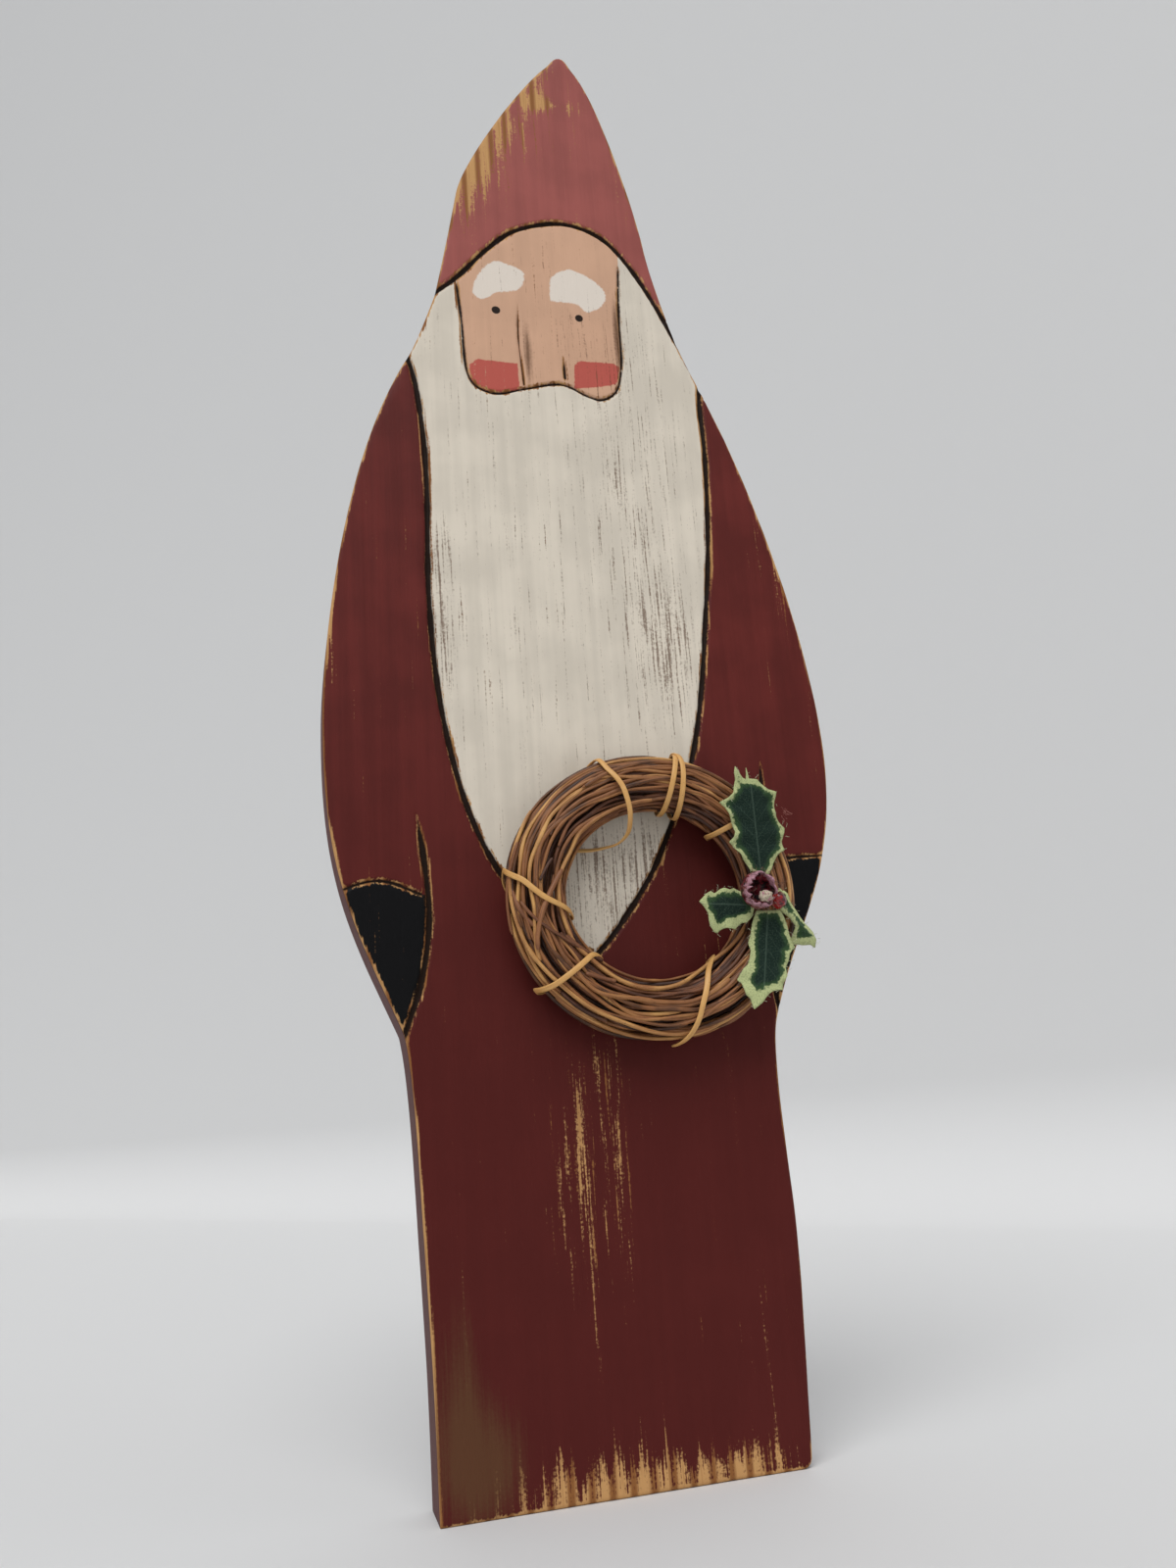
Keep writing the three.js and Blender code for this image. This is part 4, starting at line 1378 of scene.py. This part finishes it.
@dataclass
class HollySprig:
    """Four cloth leaves, a broken berry, a whole one and the loose threads about them."""

    front: float = -18.1
    shell_at: Pair = (51.6, 180.1)
    shell_radius: float = 6.3
    leaves: tuple = (
        Leaf("holly_leaf_top", (
            (51.5, 187.5), (50.5, 189.5), (49, 191.5), (48, 193.5), (46.5, 195), (45.6, 196.4), (44.2, 197.6),
            (46, 199.2), (46.6, 201), (46, 203.5), (44.8, 207), (43.6, 209.5), (41.6, 211.1), (45, 212.8),
            (47, 214.5), (47.7, 217), (48.2, 219), (47.8, 221.5), (48.6, 224), (49.6, 221.4), (51, 219.6),
            (52.1, 219.2), (52.4, 223.3), (53.2, 219.4), (56.3, 219.3), (58, 217.8), (60.6, 215.9), (63.8, 215.3),
            (63.1, 212.5), (62.5, 209), (62.9, 206.4), (64, 205), (66.4, 202.8), (65.3, 200), (64.7, 198),
            (65.4, 194.9), (63.4, 194), (62, 193), (60.5, 190.5), (59.5, 188.5), (58, 186.5), (56.8, 185)),
            ((55, 185.5), (53.6, 219)), 1.4, 4.4, -0.1, 0.012, (Patch(56, 219, 7, 3, 1.2),)),
        Leaf("holly_leaf_left", (
            (31, 177.3), (32.5, 178.6), (34, 180), (35.6, 180.8), (37, 180), (38.4, 180.8), (39.6, 181.6),
            (41, 182), (43, 181.3), (44.6, 182), (47.5, 180.5), (51, 178), (51.5, 175), (50.4, 172), (48.2, 170.2),
            (46.4, 170), (45, 169), (43.8, 168), (42.4, 168.2), (40.4, 168.5), (38.6, 168), (37, 166.8),
            (35.8, 167), (34.4, 169), (34, 171), (34, 173.2), (32.6, 175.6)),
            ((50, 176), (31.5, 176.5)), 1.0, 3.6, -0.12, 0.0,
            (Patch(43, 170, 3.2, 3.2, 3.4), Patch(35.5, 168.5, 3, 3, 2.6), Patch(48, 171.5, 2.6, 2, 2.2))),
        Leaf("holly_leaf_bottom", (
            (52, 174), (50.6, 171), (49.2, 167.8), (48.5, 165), (47.6, 163), (47.8, 160.5), (47.3, 158),
            (46.4, 156), (44.4, 154.6), (43.6, 153.4), (42.2, 151), (43.4, 150), (43.6, 148), (44, 146),
            (45.3, 144.8), (46, 141.1), (47.6, 142.1), (49, 143), (50.5, 144.6), (52, 146), (53.6, 146.7),
            (55.6, 147), (57.2, 146.9), (57.6, 149), (59.2, 151.6), (59.6, 154.4), (60.4, 156), (61.2, 158.6),
            (62.6, 160), (64, 161), (62.7, 163), (62.2, 165.5), (62.6, 168), (61.6, 171), (60.5, 174)),
            ((56, 174), (49.5, 143.5)), 1.4, 4.6, -0.1, 0.012,
            (Patch(45.5, 147, 5.5, 7, 2.6), Patch(56, 148, 4, 2.2, 1.6), Patch(47.8, 161, 2.2, 7, 1.2))),
        Leaf("holly_leaf_right", (
            (59.4, 176), (60.4, 180.6), (62.2, 182), (65, 180), (65.6, 177), (67.2, 173), (69.4, 169.3),
            (72, 166.2), (72.6, 163.6), (72.3, 160.8), (71, 162), (68.6, 162), (66.5, 162.4), (63.5, 162.4),
            (65, 165.5), (65.9, 168.4), (63.8, 171.3), (61.4, 173.2)),
            ((60, 177), (72, 164)), 1.9, 1.2, -0.55, 0.0,
            (Patch(69, 162.5, 4.5, 2.2, 1.8), Patch(64, 172, 6, 1.4, 0.4)), held="folded"),
    )

    def shell(self, start: np.ndarray, finish: bpy.types.Material) -> bpy.types.Object:
        """Make the broken berry: a thin cup with a torn rim, open to the front."""
        around = np.linspace(0, math.tau, 56, endpoint=False)
        chance = np.random.default_rng(17)
        reach = 112 + 12 * ripple(around * 10, 4, (21, 9, 4.3, 2.1)) + 5 * chance.standard_normal(56)
        reach += 10 * np.cos(around - 2.6)
        centre = np.array([self.shell_at[0], self.front - 0.3 - self.shell_radius, self.shell_at[1]])
        skin = Skin()
        rows = []
        levels = np.linspace(0.02, 1, 18)
        walls = [(level, 0.0) for level in levels] + [(level, 1.0) for level in levels[::-1]]
        for level, wall in walls:
            polar = np.radians(reach * level)
            lumps = 0.35 * np.sin(3 * around + 7 * level) + 0.3 * np.sin(5 * around - 9 * level)
            size = self.shell_radius - wall * (1.5 + lumps) * (1 - 0.6 * level**6) - 0.25 * lumps
            curl = 1 - 0.1 * np.clip(level - 0.8, 0, 1) * 5 * (1 + np.sin(7 * around)) / 2
            places = np.stack([
                size * curl * np.sin(polar) * np.cos(around), size * np.cos(polar),
                size * curl * np.sin(polar) * np.sin(around)], axis=1)
            first = skin.lay(places + centre + start, torn=np.full(56, np.clip((level - 0.72) / 0.28, 0, 1)))
            rows.append(np.arange(first, first + 56))
        for row, after in zip(rows, rows[1:]):
            skin.bridge(row, after)
        skin.faces += [tuple(int(i) for i in rows[0][::-1]), tuple(int(i) for i in rows[-1])]
        return skin.piece("broken_berry", finish)

    def lump(self, name: str, node_centre: np.ndarray, radii: Sequence[float], rough: float, seed: int,
             finish: bpy.types.Material) -> bpy.types.Object:
        """Make an uneven ball.

        Args:
            name: The piece's name.
            node_centre: Its middle, in the part's own frame.
            radii: Its half sizes.
            rough: How uneven it is, as a share of its size.
            seed: Which of the many such shapes.
            finish: The finish.

        Returns:
            The ball.
        """
        skin = Skin()
        around = np.linspace(0, math.tau, 28, endpoint=False)
        chance = np.random.default_rng(seed).random(6) * math.tau
        rows = []
        for polar in np.linspace(0.04, math.pi - 0.04, 18):
            x, y, z = np.sin(polar) * np.cos(around), np.full(28, -np.cos(polar)), np.sin(polar) * np.sin(around)
            bumps = (
                np.sin(4 * x + chance[0]) * np.sin(5 * z + chance[1]) + 0.7 * np.sin(9 * y + chance[2])
                * np.sin(8 * x + chance[3]) + 0.5 * np.sin(13 * z + chance[4]) * np.sin(12 * y + chance[5]))
            places = np.stack([x, y, z], axis=1) * np.array(radii) * (1 + rough * bumps[:, None])
            first = skin.lay(places + node_centre)
            rows.append(np.arange(first, first + 28))
        for row, after in zip(rows, rows[1:]):
            skin.bridge(row[::-1], after[::-1])
        skin.faces += [tuple(int(i) for i in rows[0]), tuple(int(i) for i in rows[-1][::-1])]
        return skin.piece(name, finish)

    def threads(self, name: str, line: np.ndarray, tree: bpy.types.NodeTree, **inputs: Any) -> bpy.types.Object:
        """Let threads stand out from a line of places in the part's own frame."""
        source = bpy.data.meshes.new(name + ".edge")
        source.from_pydata((line * MM).tolist(), [(i, i + 1) for i in range(len(line) - 1)], [])
        return grown(tree, name, source, **inputs)

    def build(self, start: np.ndarray) -> list[bpy.types.Object]:
        """Make the leaves, the berries and the threads."""
        cloth = PrintedCloth().material()
        tree = stray_threads()
        pale = PlainFibre("pale_threads", paint_mix(214, 214, 184), paint_mix(150, 150, 120)).material()
        pink = PlainFibre("pink_threads", paint_mix(196, 138, 128), paint_mix(120, 66, 60)).material()
        brown = PlainFibre("brown_fluff", paint_mix(160, 122, 108), paint_mix(74, 46, 40)).material()
        made = []

        def settle(piece: bpy.types.Object, slot: str, *nodes: str) -> None:
            """Fix a piece to the part."""
            if nodes:
                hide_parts(*nodes)
            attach(piece, "root")
            made.append(piece)

        for leaf in self.leaves:
            piece = leaf.build(self.front, start, cloth)
            ring = evenly(np.array(leaf.outline + leaf.outline[:1], float), 1.0)
            back = self.front - leaf.forward(ring)
            line = np.stack([ring[:, 0], back, ring[:, 1]], axis=1) + start
            fringe = self.threads(
                piece.name + ".fray", line, tree, Count=46, Seed=len(made), Length=0.0019, Thick=0.00006,
                Spread=1.0, Lean=(0.0, -0.5, 0.0), Material=pale)
            whole = joined(piece.name, [piece, fringe])
            settle(whole, "leaf_cloth", leaf.node)
            flat, area = leaf.cut_size()
            LOG.info("%s is cut %.1f by %.1f mm", whole.name, flat[0] / MM, flat[1] / MM)
        shell = self.shell(start, BrokenSkin().material())
        turn = np.linspace(0, math.tau, 40)
        rim_radius = self.shell_radius * 0.93
        rim = np.stack([
            self.shell_at[0] + rim_radius * np.cos(turn), np.full(40, self.front - 0.3 - self.shell_radius - 1.6),
            self.shell_at[1] + rim_radius * np.sin(turn)], axis=1) + start
        fluff = self.threads(
            "berry_fluff", rim, tree, Count=150, Seed=5, Length=0.0034, Thick=0.00005, Spread=1.0,
            Lean=(0.0, -0.1, 0.25), Material=brown)
        settle(joined("broken_berry", [shell, fluff]), "berry_skin", "holly_berry_shell")
        low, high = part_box("holly_berry_red")
        middle = np.array((low + high) / 2) / MM
        red = self.lump("red_berry", middle + (-1.2, -2.2, 0.0), (2.6, 2.9, 2.9), 0.05, 8, GlossyRed().material())
        settle(red, "berry_skin", "holly_berry_red")
        low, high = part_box("holly_berry_core")
        middle = np.array((low + high) / 2) / MM
        core = self.lump("berry_core", middle, (2.3, 1.7, 1.8), 0.2, 3, CrumbFoam().material())
        settle(core, "berry_core", "holly_berry_core")
        depth = self.front - 3.2
        knot = np.array([(64.6, depth, 206.8), (65.8, depth, 207.4), (66.2, depth, 208.6)])
        tangle = self.threads(
            "thread_tangle", knot + start, tree, Count=16, Seed=9, Length=0.0026, Thick=0.00006, Spread=1.0,
            Lean=(0.0, -0.2, 0.0), Material=pink)
        settle(tangle, "leaf_cloth")
        return made


# The studio


@dataclass(frozen=True)
class SoftSun:
    """A wide even light from above and in front. Its spread is an angle in radians."""

    source: Sequence[float] = (-0.25, -0.55, 0.8)
    strength: float = 1.9
    spread: float = 0.8

    def hang(self) -> None:
        """Add the light to the scene."""
        data = bpy.data.lights.new("soft_sun", "SUN")
        data.energy, data.angle = self.strength, self.spread
        lamp = bpy.data.objects.new("soft_sun", data)
        bpy.context.scene.collection.objects.link(lamp)
        lamp.rotation_mode = "QUATERNION"
        lamp.rotation_quaternion = Vector(self.source).to_track_quat("Z", "Y")


@dataclass
class Studio:
    """A pale floor that sweeps up into a wall, soft lamps, and the camera. In metres."""

    camera_place: Sequence[float] = (-0.10841, -0.38108, 0.11336)
    camera_right: Sequence[float] = (0.9659, -0.2488, -0.0713)
    camera_up: Sequence[float] = (0.0, -0.2756, 0.9613)
    lens: float = 27.05
    wall_left: Pair = (-0.715, 2.478)
    wall_right: Pair = (0.632, 0.422)
    bend: float = 0.12
    wall_height: float = 4.0
    floor_reach: float = 4.0
    sun: SoftSun = SoftSun()

    def set_camera(self) -> None:
        """Put the camera where the photograph was taken from."""
        data = bpy.data.cameras.new("camera")
        data.lens, data.sensor_width = self.lens, 36.0
        data.clip_start, data.clip_end = 0.01, 50.0
        camera = bpy.data.objects.new("camera", data)
        bpy.context.scene.collection.objects.link(camera)
        right, up = Vector(self.camera_right).normalized(), Vector(self.camera_up)
        back = right.cross(up).normalized()
        up = back.cross(right)
        turn = Matrix((right, up, back)).transposed().to_4x4()
        camera.matrix_world = Matrix.Translation(self.camera_place) @ turn
        bpy.context.scene.camera = camera

    def sweep(self) -> bpy.types.Object:
        """Make the floor and the wall as one bent sheet."""
        left, right = np.array(self.wall_left), np.array(self.wall_right)
        along = (right - left) / np.linalg.norm(right - left)
        away = np.array([-along[1], along[0]])
        if away @ left < 0:
            away = -away
        middle = left + along * ((-left) @ along)
        angles = np.linspace(0, math.pi / 2, 25)
        profile = [(-self.floor_reach, 0.0)]
        profile += [(-self.bend + self.bend * math.sin(a), self.bend - self.bend * math.cos(a)) for a in angles]
        profile += [(0.0, self.wall_height)]
        rows = []
        for shift in (-6.0, 6.0):
            rows.append([(*(middle + along * shift + away * out), up) for out, up in profile])
        count = len(profile)
        faces = [(i, i + 1, count + i + 1, count + i) for i in range(count - 1)]
        mesh = bpy.data.meshes.new("sweep")
        mesh.from_pydata(rows[0] + rows[1], [], faces)
        mesh.polygons.foreach_set("use_smooth", [True] * len(faces))
        g = FinishGraph("pale_paper")
        mesh.materials.append(g.finish(Base_Color=(0.69, 0.69, 0.69), Roughness=0.75))
        sheet = bpy.data.objects.new("sweep", mesh)
        bpy.context.scene.collection.objects.link(sheet)
        return sheet

    def set_air(self) -> None:
        """Light the scene evenly from all round, and keep the colours plain."""
        world = bpy.data.worlds.new("soft_air")
        bpy.context.scene.world = world
        world.use_nodes = True
        back = world.node_tree.nodes["Background"]
        back.inputs["Color"].default_value = (0.96, 0.98, 1.0, 1.0)
        back.inputs["Strength"].default_value = 0.42
        bpy.context.scene.view_settings.view_transform = "Standard"

    def build(self) -> None:
        """Set up the whole studio."""
        self.set_camera()
        self.sweep()
        self.set_air()
        self.sun.hang()


def report(piece: bpy.types.Object) -> None:
    """Log a finished piece."""
    LOG.info("%s: %d faces", piece.name, len(piece.data.polygons))


def main() -> None:
    """Build the studio and every piece in order."""
    logging.basicConfig(level=logging.INFO, format="%(message)s")
    Studio().build()
    figure = FigureBoard()
    report(figure.build(WornPaint()))
    for piece in Wreath().build(figure.origin()) + HollySprig().build(figure.origin()):
        report(piece)


if __name__ == "__main__":
    main()
